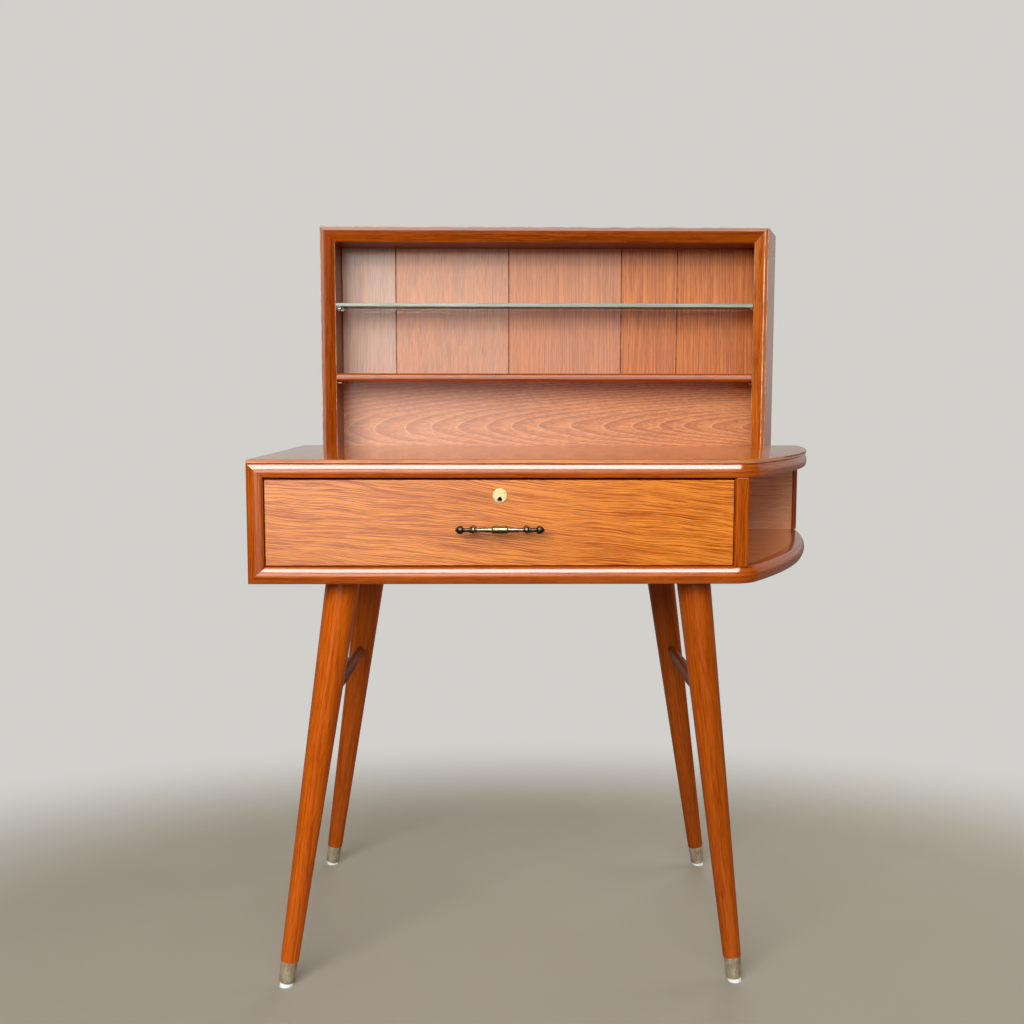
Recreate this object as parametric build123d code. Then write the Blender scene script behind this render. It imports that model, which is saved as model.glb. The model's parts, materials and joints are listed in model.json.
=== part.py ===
from build123d import *
import os
from math import acos, atan2, cos, hypot, radians, sin, sqrt, tan

os.makedirs("parts", exist_ok=True)

# A teak writing desk with one wide drawer, an open shelf with a curved end on the right,
# four splayed round legs and a shallow hutch at the back of the top.
# Sizes are in millimetres. While it is drawn, X runs from the left side, Y from the front
# plane of the mouldings to the back, and Z up from the floor. save() moves each piece to
# the part's own origin, at the middle of its footprint.

# --- Case ---------------------------------------------------------------------------
DESK_WIDTH = 880.0          # left side to the back right corner of the top
DESK_DEPTH = 485.0
DESK_HEIGHT = 762.0         # floor to the writing surface
CASE_HEIGHT = 172.0         # underside of the bottom board to the writing surface
BAY_WIDTH = 189.0           # open shelf: right face of the divider to the back right corner
TOP_SHEET_T = 5.0
TOP_SHEET_INSET = 1.0       # edge of the top sheet behind the moulding's face
TOP_SHEET_EDGE_R = 1.5
TOP_BOARD_T = 20.0
BOTTOM_BOARD_T = 24.0
SIDE_T = 23.0
DIVIDER_T = 20.0
DIVIDER_SETBACK = 4.0       # front of the divider behind the mouldings
DIVIDER_EDGE_R = 2.0
CASE_BACK_T = 6.0
CASE_BACK_RECESS = 6.0      # back panel in from the back edge of the boards
BAY_BACK_T = 10.0
BAY_BACK_RECESS = 11.0
END_POST_W = 9.0
END_POST_DEPTH = 19.0
END_POST_R = 4.0
END_POST_LIP = 0.5          # end post in front of the bay's back panel

# Curved right end, in plan: a tight arc turns the front edge, then one long arc, tangent
# to it, runs to the back right corner.
CURVE_LEAD = 21.0           # the curve starts this far left of the divider's right face
CORNER_R = 48.0
CORNER_TURN = 53.2          # degrees

# Edge mouldings: a shallow bulge between two rounded edges.
MOULDING_DEPTH = 20.0
MOULDING_BULGE = 1.6
TOP_MOULDING_R = 6.5
BOTTOM_MOULDING_R = 7.5
SIDE_MOULDING_R = 7.5

# --- Hutch --------------------------------------------------------------------------
HUTCH_HEIGHT = 367.0
HUTCH_DEPTH = 103.0
HUTCH_LEFT_X = 49.0         # left face of the hutch
HUTCH_RIGHT_INSET = 83.0    # right face at its front, in from the desk's width
HUTCH_T = 24.0              # width of the boards' front edges
HUTCH_FLARE = 19.5          # degrees that the right side turns outward to the back
EDGE_STRIP_W = 6.0          # flat outer strip of the boards' front edges
EDGE_BEVEL_DEPTH = 6.0      # bevel from the strip back to the inner face
BACK_BOARD_T = 8.0
BACK_BOARD_RECESS = 5.0     # back boards in from the back edges of the sides
BACK_BOARD_WIDTHS = (94.0, 197.0, 197.0, 98.0)   # the last board fills what is left
BACK_BOARD_V = 0.8          # chamfer along the seams
WOOD_SHELF_Z = 112.0        # underside above the writing surface
WOOD_SHELF_T = 13.0
WOOD_SHELF_SETBACK = 4.0
WOOD_SHELF_EDGE_R = 5.5
GLASS_SHELF_Z = 236.0       # underside above the writing surface
GLASS_SHELF_T = 5.8
GLASS_SHELF_SETBACK = 5.0
GLASS_SHELF_DEPTH = 73.0
GLASS_EDGE_R = 0.8
SHELF_END_GAP = 0.5
PIN_R = 2.5
PIN_REACH = 7.0             # out of the side
PIN_HOLE_DEPTH = 9.0
PIN_FRONT_SETBACK = 16.0    # from the shelf's front edge to the front pins
PIN_BACK_SETBACK = 58.0
HUTCH_SCREW_R = 2.0
HUTCH_SCREW_HEAD_R = 4.0
HUTCH_SCREW_HEAD_T = 3.0
HUTCH_SCREW_LENGTH = 50.0
HUTCH_SCREW_SETBACKS = (32.0, 76.0)   # from the hutch's front

# --- Legs ---------------------------------------------------------------------------
# Foot and top of each leg's axis, in from the nearer side and from the front or the back.
LEG_INSETS = {
    "front_left": ((38.0, 25.0), (123.0, 68.0)),
    "front_right": ((190.0, 32.0), (254.5, 68.0)),
    "back_left": ((43.0, 22.0), (133.5, 83.0)),
    "back_right": ((170.5, 33.0), (261.0, 83.0)),
}
LEG_TOP_R = 24.3
LEG_ANKLE_R = 13.0          # just above the ferrule
FERRULE_BASE = 5.5          # distances along the leg's axis from the floor
FERRULE_TOP = 37.0
FERRULE_TOP_R = 12.3
FERRULE_BASE_R = 11.3
FERRULE_EDGE_R = 1.8        # rounding of its lower rim
FERRULE_WALL = 1.0
GLIDE_R = 9.6
GLIDE_PIN_R = 1.5
GLIDE_PIN_LENGTH = 22.0
GLIDE_PIN_ROOM = 1.0        # past the pin's end in its hole
STRETCHER_Z = 411.0
STRETCHER_MID_R = 10.5
STRETCHER_SEAT = 1.0        # belly's ends inside the leg's surface
TENON_R = 5.0
TENON_DEPTH = 13.0          # into the leg
TENON_FIT = 0.35            # radial room at the mouth of the socket
BOLT_R = 4.0
BOLT_DEPTH = 38.0           # into the leg
BOLT_TIP = 2.0              # end of the bolt below the top of the nut
NUT_FLANGE_R = 11.0
NUT_FLANGE_T = 1.6
NUT_BARREL_R = 5.2
NUT_LENGTH = 12.0

# --- Drawer -------------------------------------------------------------------------
DRAWER_SETBACK = 6.0        # face of the drawer front behind the mouldings
DRAWER_SIDE_GAP = 1.2
DRAWER_TOP_GAP = 3.0
DRAWER_BOTTOM_GAP = 1.5
DRAWER_FRONT_T = 20.0
DRAWER_FRONT_R = 1.0
DRAWER_BACK_ROOM = 27.0     # behind the drawer's box when it is shut
DRAWER_WALL = 12.0
DRAWER_WALL_GAP = 2.0       # between a drawer side and the case
DRAWER_BOTTOM_T = 5.0
DRAWER_BOTTOM_LIFT = 8.0    # above the lower edge of the drawer sides
GROOVE_DEPTH = 5.0
GROOVE_FIT = 0.2
RUNNER_W = 18.0
RUNNER_T = 6.0
RUNNER_END_GAP = 1.0        # between a runner or kicker and the case's back
SLIDE_GAP = 0.3             # between the drawer and what it slides or stops on
KICKER_T = 16.7             # down from the top board
KICKER_GAP = 2.0            # above the drawer sides

# --- Bar pull -----------------------------------------------------------------------
PULL_DROP = 94.4            # bar below the writing surface
PULL_PITCH = 73.0           # post to post
PULL_REACH = 24.0           # bar in front of the drawer front
ROSE_R = 7.5
ROSE_T = 2.2
ROSE_RIM_T = 1.3            # straight edge of the rose, under its rounded top
POST_R = 3.4
POST_FOOT_R = 5.0
POST_FOOT_T = 2.2           # taper from the rose's top to the post
PULL_SCREW_R = 2.0
PULL_SCREW_HEAD_R = 4.2
PULL_SCREW_HEAD_T = 2.0
PULL_SCREW_DEPTH = 9.0      # into the post
# Turned profile of one half of the bar: distance from its middle, and radius.
BARREL = ((0.0, 5.8), (7.6, 5.8), (8.2, 5.2), (8.8, 5.6), (9.6, 5.6), (10.2, 3.4), (11.4, 3.2))
ARM = ((12.0, 4.2), (13.4, 4.2), (32.4, 3.2), (32.9, 4.4), (34.2, 4.9))
COLLAR = ((38.8, 4.9), (40.1, 4.4), (40.6, 2.1), (42.6, 2.0), (43.2, 3.8))
FINIAL = ((44.6, 5.1), (48.0, 5.3), (52.4, 4.4), (56.0, 2.9), (57.0, 1.6), (58.6, 1.7), (60.8, 0.6))

# --- Lock ---------------------------------------------------------------------------
LOCK_DROP = 49.7            # middle of the disc below the writing surface
DISC_R = 10.0
DISC_T = 1.4
BARREL_R = 7.0
KEYHOLE_W = 6.2
KEYHOLE_H = 7.0
KEYHOLE_DROP = 1.6          # its top below the disc's middle
KEYHOLE_R = 1.0
KEYHOLE_DEPTH = 14.0
LOCK_CASE_W = 44.0
LOCK_CASE_H = 40.0
LOCK_CASE_T = 11.0
LOCK_CASE_TOP_GAP = 2.0     # below the upper edge of the drawer front
BOLT_TRAVEL = 7.0
LOCK_BOLT_W = 16.0
LOCK_BOLT_T = 4.0
LOCK_BOLT_H = 13.0
LOCK_BOLT_FIT = 0.3
LOCK_SCREW_R = 1.4
LOCK_SCREW_HEAD_R = 2.8
LOCK_SCREW_HEAD_T = 1.4
LOCK_SCREW_DEPTH = 12.0
LOCK_SCREW_INSET = 5.0
STRIKE_W = 46.0
STRIKE_DEPTH = 16.0
STRIKE_T = 1.5
STRIKE_FIT = 0.6            # room round the bolt in the strike

SCREW_FIT = 0.05            # radial room round screws, bolts and pins in their holes
PAST = 10.0                 # how far a cutting tool runs past what it cuts

# --- Places worked out from the sizes ------------------------------------------------
SHEET_Z = DESK_HEIGHT - TOP_SHEET_T
CEILING_Z = SHEET_Z - TOP_BOARD_T              # upper limit of the drawer opening
BOTTOM_Z = DESK_HEIGHT - CASE_HEIGHT
FLOOR_Z = BOTTOM_Z + BOTTOM_BOARD_T            # lower limit of the drawer opening
DIVIDER_X1 = DESK_WIDTH - BAY_WIDTH
DIVIDER_X0 = DIVIDER_X1 - DIVIDER_T
CASE_BACK_Y1 = DESK_DEPTH - CASE_BACK_RECESS
CASE_BACK_Y0 = CASE_BACK_Y1 - CASE_BACK_T
BAY_BACK_Y1 = DESK_DEPTH - BAY_BACK_RECESS
BAY_BACK_Y0 = BAY_BACK_Y1 - BAY_BACK_T

HUTCH_TOP_Z = DESK_HEIGHT + HUTCH_HEIGHT
HUTCH_FRONT_Y = DESK_DEPTH - HUTCH_DEPTH
HUTCH_RIGHT_X = DESK_WIDTH - HUTCH_RIGHT_INSET
HUTCH_INNER_LEFT = HUTCH_LEFT_X + HUTCH_T
HUTCH_INNER_RIGHT = HUTCH_RIGHT_X - HUTCH_T    # at the front
BACK_BOARD_Y1 = DESK_DEPTH - BACK_BOARD_RECESS
BACK_BOARD_Y0 = BACK_BOARD_Y1 - BACK_BOARD_T
WOOD_Z = DESK_HEIGHT + WOOD_SHELF_Z
GLASS_Z = DESK_HEIGHT + GLASS_SHELF_Z

DRAWER_X0 = SIDE_T + DRAWER_SIDE_GAP
DRAWER_X1 = DIVIDER_X0 - DRAWER_SIDE_GAP
DRAWER_Z0 = FLOOR_Z + DRAWER_BOTTOM_GAP
DRAWER_Z1 = CEILING_Z - DRAWER_TOP_GAP
DRAWER_MID_X = (DRAWER_X0 + DRAWER_X1) / 2
FRONT_BACK_Y = DRAWER_SETBACK + DRAWER_FRONT_T
BOX_BACK_Y = CASE_BACK_Y0 - DRAWER_BACK_ROOM
BOX_X0 = SIDE_T + DRAWER_WALL_GAP
BOX_X1 = DIVIDER_X0 - DRAWER_WALL_GAP
BOX_Z0 = FLOOR_Z + RUNNER_T + SLIDE_GAP
KICKER_Z = CEILING_Z - KICKER_T
BOX_Z1 = KICKER_Z - KICKER_GAP
PANEL_Z0 = BOX_Z0 + DRAWER_BOTTOM_LIFT
PANEL_Z1 = PANEL_Z0 + DRAWER_BOTTOM_T
PULL_Y = DRAWER_SETBACK - PULL_REACH
PULL_Z = DESK_HEIGHT - PULL_DROP
LOCK_Z = DESK_HEIGHT - LOCK_DROP
LOCK_CASE_Z1 = DRAWER_Z1 - LOCK_CASE_TOP_GAP
LOCK_CASE_Z0 = LOCK_CASE_Z1 - LOCK_CASE_H
LOCK_BOLT_Y = FRONT_BACK_Y + LOCK_CASE_T / 2

FRONT_LIMIT_Y = PULL_Y - max(radius for _, radius in BARREL)
ORIGIN = Vector(DESK_WIDTH / 2, (FRONT_LIMIT_Y + DESK_DEPTH) / 2, 0)



def leg_place(name, inset):
    """Plan point of a leg's foot or top from its insets."""
    x = inset[0] if name.endswith("left") else DESK_WIDTH - inset[0]
    y = inset[1] if name.startswith("front") else DESK_DEPTH - inset[1]
    return x, y


LEGS = {name: [leg_place(name, inset) for inset in pair] for name, pair in LEG_INSETS.items()}

# The two arcs of the curved end.
CORNER_CENTRE = (DIVIDER_X1 - CURVE_LEAD, CORNER_R)
TURN = radians(CORNER_TURN)
CORNER_END = (CORNER_CENTRE[0] + CORNER_R * sin(TURN), CORNER_R * (1 - cos(TURN)))
CHORD = hypot(DESK_WIDTH - CORNER_END[0], DESK_DEPTH - CORNER_END[1])
CHORD_ANGLE = atan2(DESK_DEPTH - CORNER_END[1], DESK_WIDTH - CORNER_END[0])
SWEEP_R = CHORD / (2 * sin(CHORD_ANGLE - TURN))
SWEEP_CENTRE = (CORNER_END[0] - SWEEP_R * sin(TURN), CORNER_END[1] + SWEEP_R * cos(TURN))


def block(x0, x1, y0, y1, z0, z1):
    """A box between six limits."""
    size = Box(x1 - x0, y1 - y0, z1 - z0)
    return Pos((x0 + x1) / 2, (y0 + y1) / 2, (z0 + z1) / 2) * size


def rod(start, end, radius):
    """A round bar from one point to another."""
    axis = Vector(*end) - Vector(*start)
    bar = Cylinder(radius, axis.length, align=(Align.CENTER, Align.CENTER, Align.MIN))
    return Plane(origin=start, z_dir=axis) * bar


def turned(points, plane):
    """A solid of revolution from (distance, radius) points along the plane's Z axis."""
    outline = [(0, points[0][0])] + [(r, s) for s, r in points] + [(0, points[-1][0])]
    half = make_face(Plane.XZ * Polyline(*outline, close=True))
    return plane * revolve(half, Axis.Z)


def drill(solid, tools):
    """The solid with each of the tools cut from it in turn."""
    for tool in tools:
        solid -= tool
    return solid


def edges_at(solid, axis, value):
    """Edges that lie wholly at one value along an axis."""
    return solid.edges().filter_by_position(axis, value - 0.01, value + 0.01)


def arc_point(centre, radius, angle):
    """Point of a plan arc whose tangent makes the given angle with the front edge."""
    return (centre[0] + radius * sin(angle), centre[1] - radius * cos(angle))


def end_x(y, inset=0.0):
    """X of the curved end at a depth, on the long arc."""
    return SWEEP_CENTRE[0] + sqrt((SWEEP_R - inset) ** 2 - (y - SWEEP_CENTRE[1]) ** 2)


def curved_edge(inset, x_start, y_end):
    """Front edge and curved end as one line in plan, moved in by an inset."""
    last = acos((SWEEP_CENTRE[1] - y_end) / (SWEEP_R - inset))
    corner = [arc_point(CORNER_CENTRE, CORNER_R - inset, TURN * k / 2) for k in (0, 1, 2)]
    sweep_angles = (TURN, (TURN + last) / 2, last)
    sweep_points = [arc_point(SWEEP_CENTRE, SWEEP_R - inset, angle) for angle in sweep_angles]
    front = Line((x_start, inset), corner[0])
    return Curve() + [front, ThreePointArc(*corner), ThreePointArc(*sweep_points)]


def plan_board(inset, x_left, z0, z1):
    """A board with the desk's plan, its front and curved edges moved in by an inset."""
    edge = curved_edge(inset, x_left, DESK_DEPTH)
    end = edge.edges()[-1] @ 1
    close = Polyline((end.X, end.Y), (x_left, DESK_DEPTH), (x_left, inset))
    return Pos(0, 0, z0) * extrude(make_face(edge.edges() + close.edges()), z1 - z0)


def moulding_face(low, high, radius):
    """Section of an edge moulding: X is depth from its face, Y runs from low to high."""
    nose = ThreePointArc((MOULDING_BULGE, low), (0, (low + high) / 2), (MOULDING_BULGE, high))
    rest = Polyline((MOULDING_BULGE, high), (MOULDING_DEPTH, high), (MOULDING_DEPTH, low),
                    (MOULDING_BULGE, low))
    face = make_face(nose.edges() + rest.edges())
    return fillet(face.vertices().sort_by(Axis.X)[:2], radius)


def front_prism(points, y0, y1):
    """A prism whose section is drawn on the front, as (x, z) points."""
    face = make_face(Polyline(*[(x, y0, z) for x, z in points], close=True))
    return extrude(face, y1 - y0, dir=(0, 1, 0))


def edge_moulding(z0, z1, radius, mitre):
    """Moulding along the front and the curved end, mitred at its left end."""
    path = Pos(0, 0, z0) * curved_edge(0, -PAST, DESK_DEPTH + PAST)
    start = Plane(origin=(-PAST, 0, z0), x_dir=(0, 1, 0), z_dir=(1, 0, 0))
    whole = sweep(start * moulding_face(0, z1 - z0, radius), path=path)
    return whole & front_prism(mitre, -PAST, DESK_DEPTH)


def case():
    """The carcass with its mouldings, the open shelf and the drawer's runners."""
    far = DESK_WIDTH + PAST
    sheet = plan_board(TOP_SHEET_INSET, TOP_SHEET_INSET, SHEET_Z, DESK_HEIGHT)
    sheet = fillet(edges_at(sheet, Axis.Z, DESK_HEIGHT), TOP_SHEET_EDGE_R)
    top = plan_board(MOULDING_DEPTH, SIDE_T, CEILING_Z, SHEET_Z)
    bottom = plan_board(MOULDING_DEPTH, SIDE_T, BOTTOM_Z, FLOOR_Z)
    upper_mitre = [(0, SHEET_Z), (SIDE_T, CEILING_Z), (far, CEILING_Z), (far, SHEET_Z)]
    lower_mitre = [(0, BOTTOM_Z), (SIDE_T, FLOOR_Z), (far, FLOOR_Z), (far, BOTTOM_Z)]
    side_mitre = [(0, BOTTOM_Z), (SIDE_T, FLOOR_Z), (SIDE_T, CEILING_Z), (0, SHEET_Z)]
    section = Plane(origin=(0, 0, BOTTOM_Z), x_dir=(0, 1, 0), z_dir=(0, 0, -1))
    upright = extrude(section * moulding_face(0, SIDE_T, SIDE_MOULDING_R), -(SHEET_Z - BOTTOM_Z))

    lipping_y1 = DIVIDER_SETBACK + MOULDING_DEPTH
    lipping = block(DIVIDER_X0, DIVIDER_X1, DIVIDER_SETBACK, lipping_y1, FLOOR_Z, CEILING_Z)
    front_arrises = edges_at(lipping, Axis.Y, DIVIDER_SETBACK).filter_by(Axis.Z)
    lipping = fillet(front_arrises, DIVIDER_EDGE_R)
    post_y0 = BAY_BACK_Y0 - END_POST_LIP
    post_x1 = end_x(post_y0, TOP_SHEET_INSET)
    post_y1 = post_y0 + END_POST_DEPTH
    post = block(post_x1 - END_POST_W, post_x1, post_y0, post_y1, FLOOR_Z, CEILING_Z)
    post = fillet(edges_at(post, Axis.Y, post_y0).filter_by(Axis.Z), END_POST_R)

    runner_y0 = FRONT_BACK_Y + SLIDE_GAP
    strip_x = ((SIDE_T, SIDE_T + RUNNER_W), (DIVIDER_X0 - RUNNER_W, DIVIDER_X0))
    strip_y = (runner_y0, CASE_BACK_Y0 - RUNNER_END_GAP)
    runners = [block(*x, *strip_y, FLOOR_Z, FLOOR_Z + RUNNER_T) for x in strip_x]
    kickers = [block(*x, *strip_y, KICKER_Z, CEILING_Z) for x in strip_x]
    return {
        "top_sheet": drill(sheet, hutch_screws(SCREW_FIT)),
        "top_board": drill(top, [strike_recess(), *hutch_screws(SCREW_FIT)]),
        "top_edge_moulding": edge_moulding(CEILING_Z, SHEET_Z, TOP_MOULDING_R, upper_mitre),
        "left_side_panel": block(0, SIDE_T, MOULDING_DEPTH, DESK_DEPTH, BOTTOM_Z, SHEET_Z),
        "left_front_moulding": upright & front_prism(side_mitre, -PAST, PAST + MOULDING_DEPTH),
        "bottom_board": drill(bottom, leg_nuts(SCREW_FIT) + leg_bolts(SCREW_FIT)),
        "bottom_edge_moulding": edge_moulding(BOTTOM_Z, FLOOR_Z, BOTTOM_MOULDING_R, lower_mitre),
        "divider_panel": block(DIVIDER_X0, DIVIDER_X1, lipping_y1, CASE_BACK_Y0, FLOOR_Z, CEILING_Z),
        "divider_lipping": lipping,
        "case_back_panel": block(SIDE_T, DIVIDER_X1, CASE_BACK_Y0, CASE_BACK_Y1, FLOOR_Z, CEILING_Z),
        "bay_back_panel": block(DIVIDER_X1, post_x1 - END_POST_W, BAY_BACK_Y0, BAY_BACK_Y1,
                                FLOOR_Z, CEILING_Z),
        "bay_end_post": post,
        "drawer_runners": Compound(runners),
        "drawer_kickers": Compound(kickers),
        "lock_strike": strike_plate(),
    }


# --- Hutch --------------------------------------------------------------------------
FLARE_SLOPE = tan(radians(HUTCH_FLARE))


def flared_x(x_front, y):
    """X at a depth of a plane that stands at x_front on the hutch's front and flares out."""
    return x_front + (y - HUTCH_FRONT_Y) * FLARE_SLOPE


def flared_prism(points):
    """A prism drawn on the hutch's front as (x, z) points and run back along the flare."""
    face = make_face(Polyline(*[(x, HUTCH_FRONT_Y, z) for x, z in points], close=True))
    run = Vector(FLARE_SLOPE, 1, 0)
    return extrude(face, HUTCH_DEPTH * run.length, dir=run.normalized())


def plan_prism(points, z0, z1):
    """An upright prism from plan points."""
    return Pos(0, 0, z0) * extrude(make_face(Polyline(*points, close=True)), z1 - z0)


def between_sides(y0, y1, z0, z1, gap):
    """A board that fits between the hutch's sides, one of them flared."""
    points = [(HUTCH_INNER_LEFT + gap, y0), (flared_x(HUTCH_INNER_RIGHT, y0) - gap, y0),
              (flared_x(HUTCH_INNER_RIGHT, y1) - gap, y1), (HUTCH_INNER_LEFT + gap, y1)]
    return plan_prism(points, z0, z1)


def shelf_pins(shelf_z, front_y, radius):
    """Four pins under a shelf, each from its hole in a side to under the shelf's end."""
    pins = []
    for y in (front_y + PIN_FRONT_SETBACK, front_y + PIN_BACK_SETBACK):
        z = shelf_z - PIN_R - SCREW_FIT
        left = HUTCH_INNER_LEFT
        right = flared_x(HUTCH_INNER_RIGHT, y)
        pins.append(rod((left - PIN_HOLE_DEPTH, y, z), (left + PIN_REACH, y, z), radius))
        pins.append(rod((right + PIN_HOLE_DEPTH, y, z), (right - PIN_REACH, y, z), radius))
    return pins


def hutch_screw_places():
    """Plan points of the screws that hold the hutch's sides to the top."""
    places = []
    for setback in HUTCH_SCREW_SETBACKS:
        y = HUTCH_FRONT_Y + setback
        places.append((HUTCH_LEFT_X + HUTCH_T / 2, y))
        places.append((flared_x(HUTCH_RIGHT_X - HUTCH_T / 2, y), y))
    return places


def hutch_screws(fit=0.0):
    """Screws up through the top board, or their holes with room added."""
    screws = []
    for x, y in hutch_screw_places():
        head_top = CEILING_Z + HUTCH_SCREW_HEAD_T
        shank = rod((x, y, CEILING_Z), (x, y, CEILING_Z + HUTCH_SCREW_LENGTH), HUTCH_SCREW_R + fit)
        head = rod((x, y, CEILING_Z - fit), (x, y, head_top), HUTCH_SCREW_HEAD_R + fit)
        screws.append(shank + head)
    return screws


def hutch():
    """Sides, top, back boards and the two shelves on their pins."""
    strip = EDGE_STRIP_W
    front, bevel_y = HUTCH_FRONT_Y, HUTCH_FRONT_Y + EDGE_BEVEL_DEPTH
    inner_z = HUTCH_TOP_Z - HUTCH_T
    foot = DESK_HEIGHT
    left, right = HUTCH_LEFT_X, HUTCH_RIGHT_X
    inner_left, inner_right = HUTCH_INNER_LEFT, HUTCH_INNER_RIGHT
    far = right + HUTCH_DEPTH

    side_l = front_prism([(left, foot), (inner_left, foot), (inner_left, inner_z),
                          (left, HUTCH_TOP_Z)], front, DESK_DEPTH)
    side_l -= plan_prism([(left + strip, front), (inner_left, bevel_y),
                          (inner_left + PAST, bevel_y), (inner_left + PAST, front - PAST),
                          (left + strip, front - PAST)], foot, HUTCH_TOP_Z)
    side_r = flared_prism([(inner_right, foot), (right, foot), (right, HUTCH_TOP_Z),
                           (inner_right, inner_z)])
    bevel_x = flared_x(inner_right, bevel_y)
    side_r -= plan_prism([(right - strip, front), (bevel_x, bevel_y),
                          (inner_right - PAST, bevel_y), (inner_right - PAST, front - PAST),
                          (right - strip, front - PAST)], foot, HUTCH_TOP_Z)
    top = front_prism([(left, HUTCH_TOP_Z), (inner_left, inner_z), (far, inner_z),
                       (far, HUTCH_TOP_Z)], front, DESK_DEPTH)
    top -= flared_prism([(inner_right, inner_z), (right, HUTCH_TOP_Z), (far, HUTCH_TOP_Z),
                         (far, inner_z)])
    lip = HUTCH_TOP_Z - strip
    nose = make_face(Polyline((left, front, lip), (left, bevel_y, inner_z),
                              (left, bevel_y, inner_z - PAST), (left, front - PAST, inner_z - PAST),
                              (left, front - PAST, lip), close=True))
    top -= extrude(nose, far - left, dir=(1, 0, 0))

    wood_y0 = front + WOOD_SHELF_SETBACK
    wood = between_sides(wood_y0, BACK_BOARD_Y0, WOOD_Z, WOOD_Z + WOOD_SHELF_T, SHELF_END_GAP)
    wood = fillet(edges_at(wood, Axis.Y, wood_y0).filter_by(Axis.X), WOOD_SHELF_EDGE_R)
    glass_y0 = front + GLASS_SHELF_SETBACK
    glass = between_sides(glass_y0, glass_y0 + GLASS_SHELF_DEPTH, GLASS_Z, GLASS_Z + GLASS_SHELF_T,
                          SHELF_END_GAP)
    glass = fillet(edges_at(glass, Axis.Y, glass_y0).filter_by(Axis.X), GLASS_EDGE_R)
    holes = shelf_pins(WOOD_Z, wood_y0, PIN_R + SCREW_FIT)
    holes += shelf_pins(GLASS_Z, glass_y0, PIN_R + SCREW_FIT)
    holes += hutch_screws(SCREW_FIT)

    parts = {
        "hutch_left_side": drill(side_l, holes),
        "hutch_right_side": drill(side_r, holes),
        "hutch_top_board": top,
        "wood_shelf": wood,
        "wood_shelf_pins": Compound(shelf_pins(WOOD_Z, wood_y0, PIN_R)),
        "glass_shelf": glass,
        "glass_shelf_pins": Compound(shelf_pins(GLASS_Z, glass_y0, PIN_R)),
        "hutch_screws": Compound(hutch_screws()),
    }
    board_z0 = WOOD_Z + WOOD_SHELF_T / 2
    lower = between_sides(BACK_BOARD_Y0, BACK_BOARD_Y1, foot, board_z0, 0)
    parts["hutch_lower_back"] = lower
    whole = between_sides(BACK_BOARD_Y0, BACK_BOARD_Y1, board_z0, inner_z, 0)
    x = inner_left
    widths = BACK_BOARD_WIDTHS + (far - x - sum(BACK_BOARD_WIDTHS),)
    for number, width in enumerate(widths, 1):
        board = whole & block(x, x + width, BACK_BOARD_Y0, BACK_BOARD_Y1, board_z0, inner_z)
        seams = edges_at(board, Axis.Y, BACK_BOARD_Y0).filter_by(Axis.Z)
        parts[f"hutch_back_board_{number}"] = chamfer(seams, BACK_BOARD_V)
        x += width
    return parts


# --- Legs ---------------------------------------------------------------------------
def leg_plane(name):
    """Plane at the foot of a leg, its Z axis up the leg."""
    foot, top = LEGS[name]
    return Plane(origin=(*foot, 0), z_dir=Vector(*top, BOTTOM_Z) - Vector(*foot, 0))


def leg_length(name):
    """Length of a leg's axis from the floor to the underside of the case."""
    foot, top = LEGS[name]
    return (Vector(*top, BOTTOM_Z) - Vector(*foot, 0)).length


def leg_point(name, z):
    """Point of a leg's axis at a height."""
    foot, top = LEGS[name]
    share = z / BOTTOM_Z
    return Vector(foot[0] + (top[0] - foot[0]) * share, foot[1] + (top[1] - foot[1]) * share, z)


def leg_radius(name, s):
    """Radius of a leg at a distance up its axis."""
    share = (s - FERRULE_TOP) / (leg_length(name) - FERRULE_TOP)
    return LEG_ANKLE_R + (LEG_TOP_R - LEG_ANKLE_R) * share


def leg_nuts(fit=0.0):
    """Threaded nuts let into the bottom board over the legs, or their recesses."""
    nuts = []
    for _, top in LEGS.values():
        flange = rod((*top, FLOOR_Z - NUT_FLANGE_T - fit), (*top, FLOOR_Z), NUT_FLANGE_R + fit)
        barrel = rod((*top, FLOOR_Z - NUT_LENGTH - fit), (*top, FLOOR_Z), NUT_BARREL_R + fit)
        nuts.append(flange + barrel)
    return nuts


def leg_bolts(fit=0.0):
    """Bolts from the nuts down into the legs, or their holes."""
    low, high = BOTTOM_Z - BOLT_DEPTH - fit, FLOOR_Z - BOLT_TIP + fit
    return [rod((*top, low), (*top, high), BOLT_R + fit) for _, top in LEGS.values()]


def leg(name):
    """A tapered round leg, cut level at its top, with a spigot inside the ferrule."""
    length = leg_length(name)
    inner = FERRULE_WALL + SCREW_FIT
    profile = [(FERRULE_BASE + inner, FERRULE_BASE_R - inner), (FERRULE_TOP, FERRULE_TOP_R - inner),
               (FERRULE_TOP, LEG_ANKLE_R), (length + PAST, leg_radius(name, length + PAST))]
    whole = turned(profile, leg_plane(name))
    reach = LEG_TOP_R + PAST
    x, y = LEGS[name][1]
    cap = block(x - reach, x + reach, y - reach, y + reach, BOTTOM_Z, BOTTOM_Z + reach)
    hole_end = FERRULE_BASE + GLIDE_PIN_LENGTH + GLIDE_PIN_ROOM
    hole = rod((0, 0, 0), (0, 0, hole_end), GLIDE_PIN_R + SCREW_FIT)
    return drill(whole, [cap, leg_plane(name) * hole, *leg_bolts(SCREW_FIT)])


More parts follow.
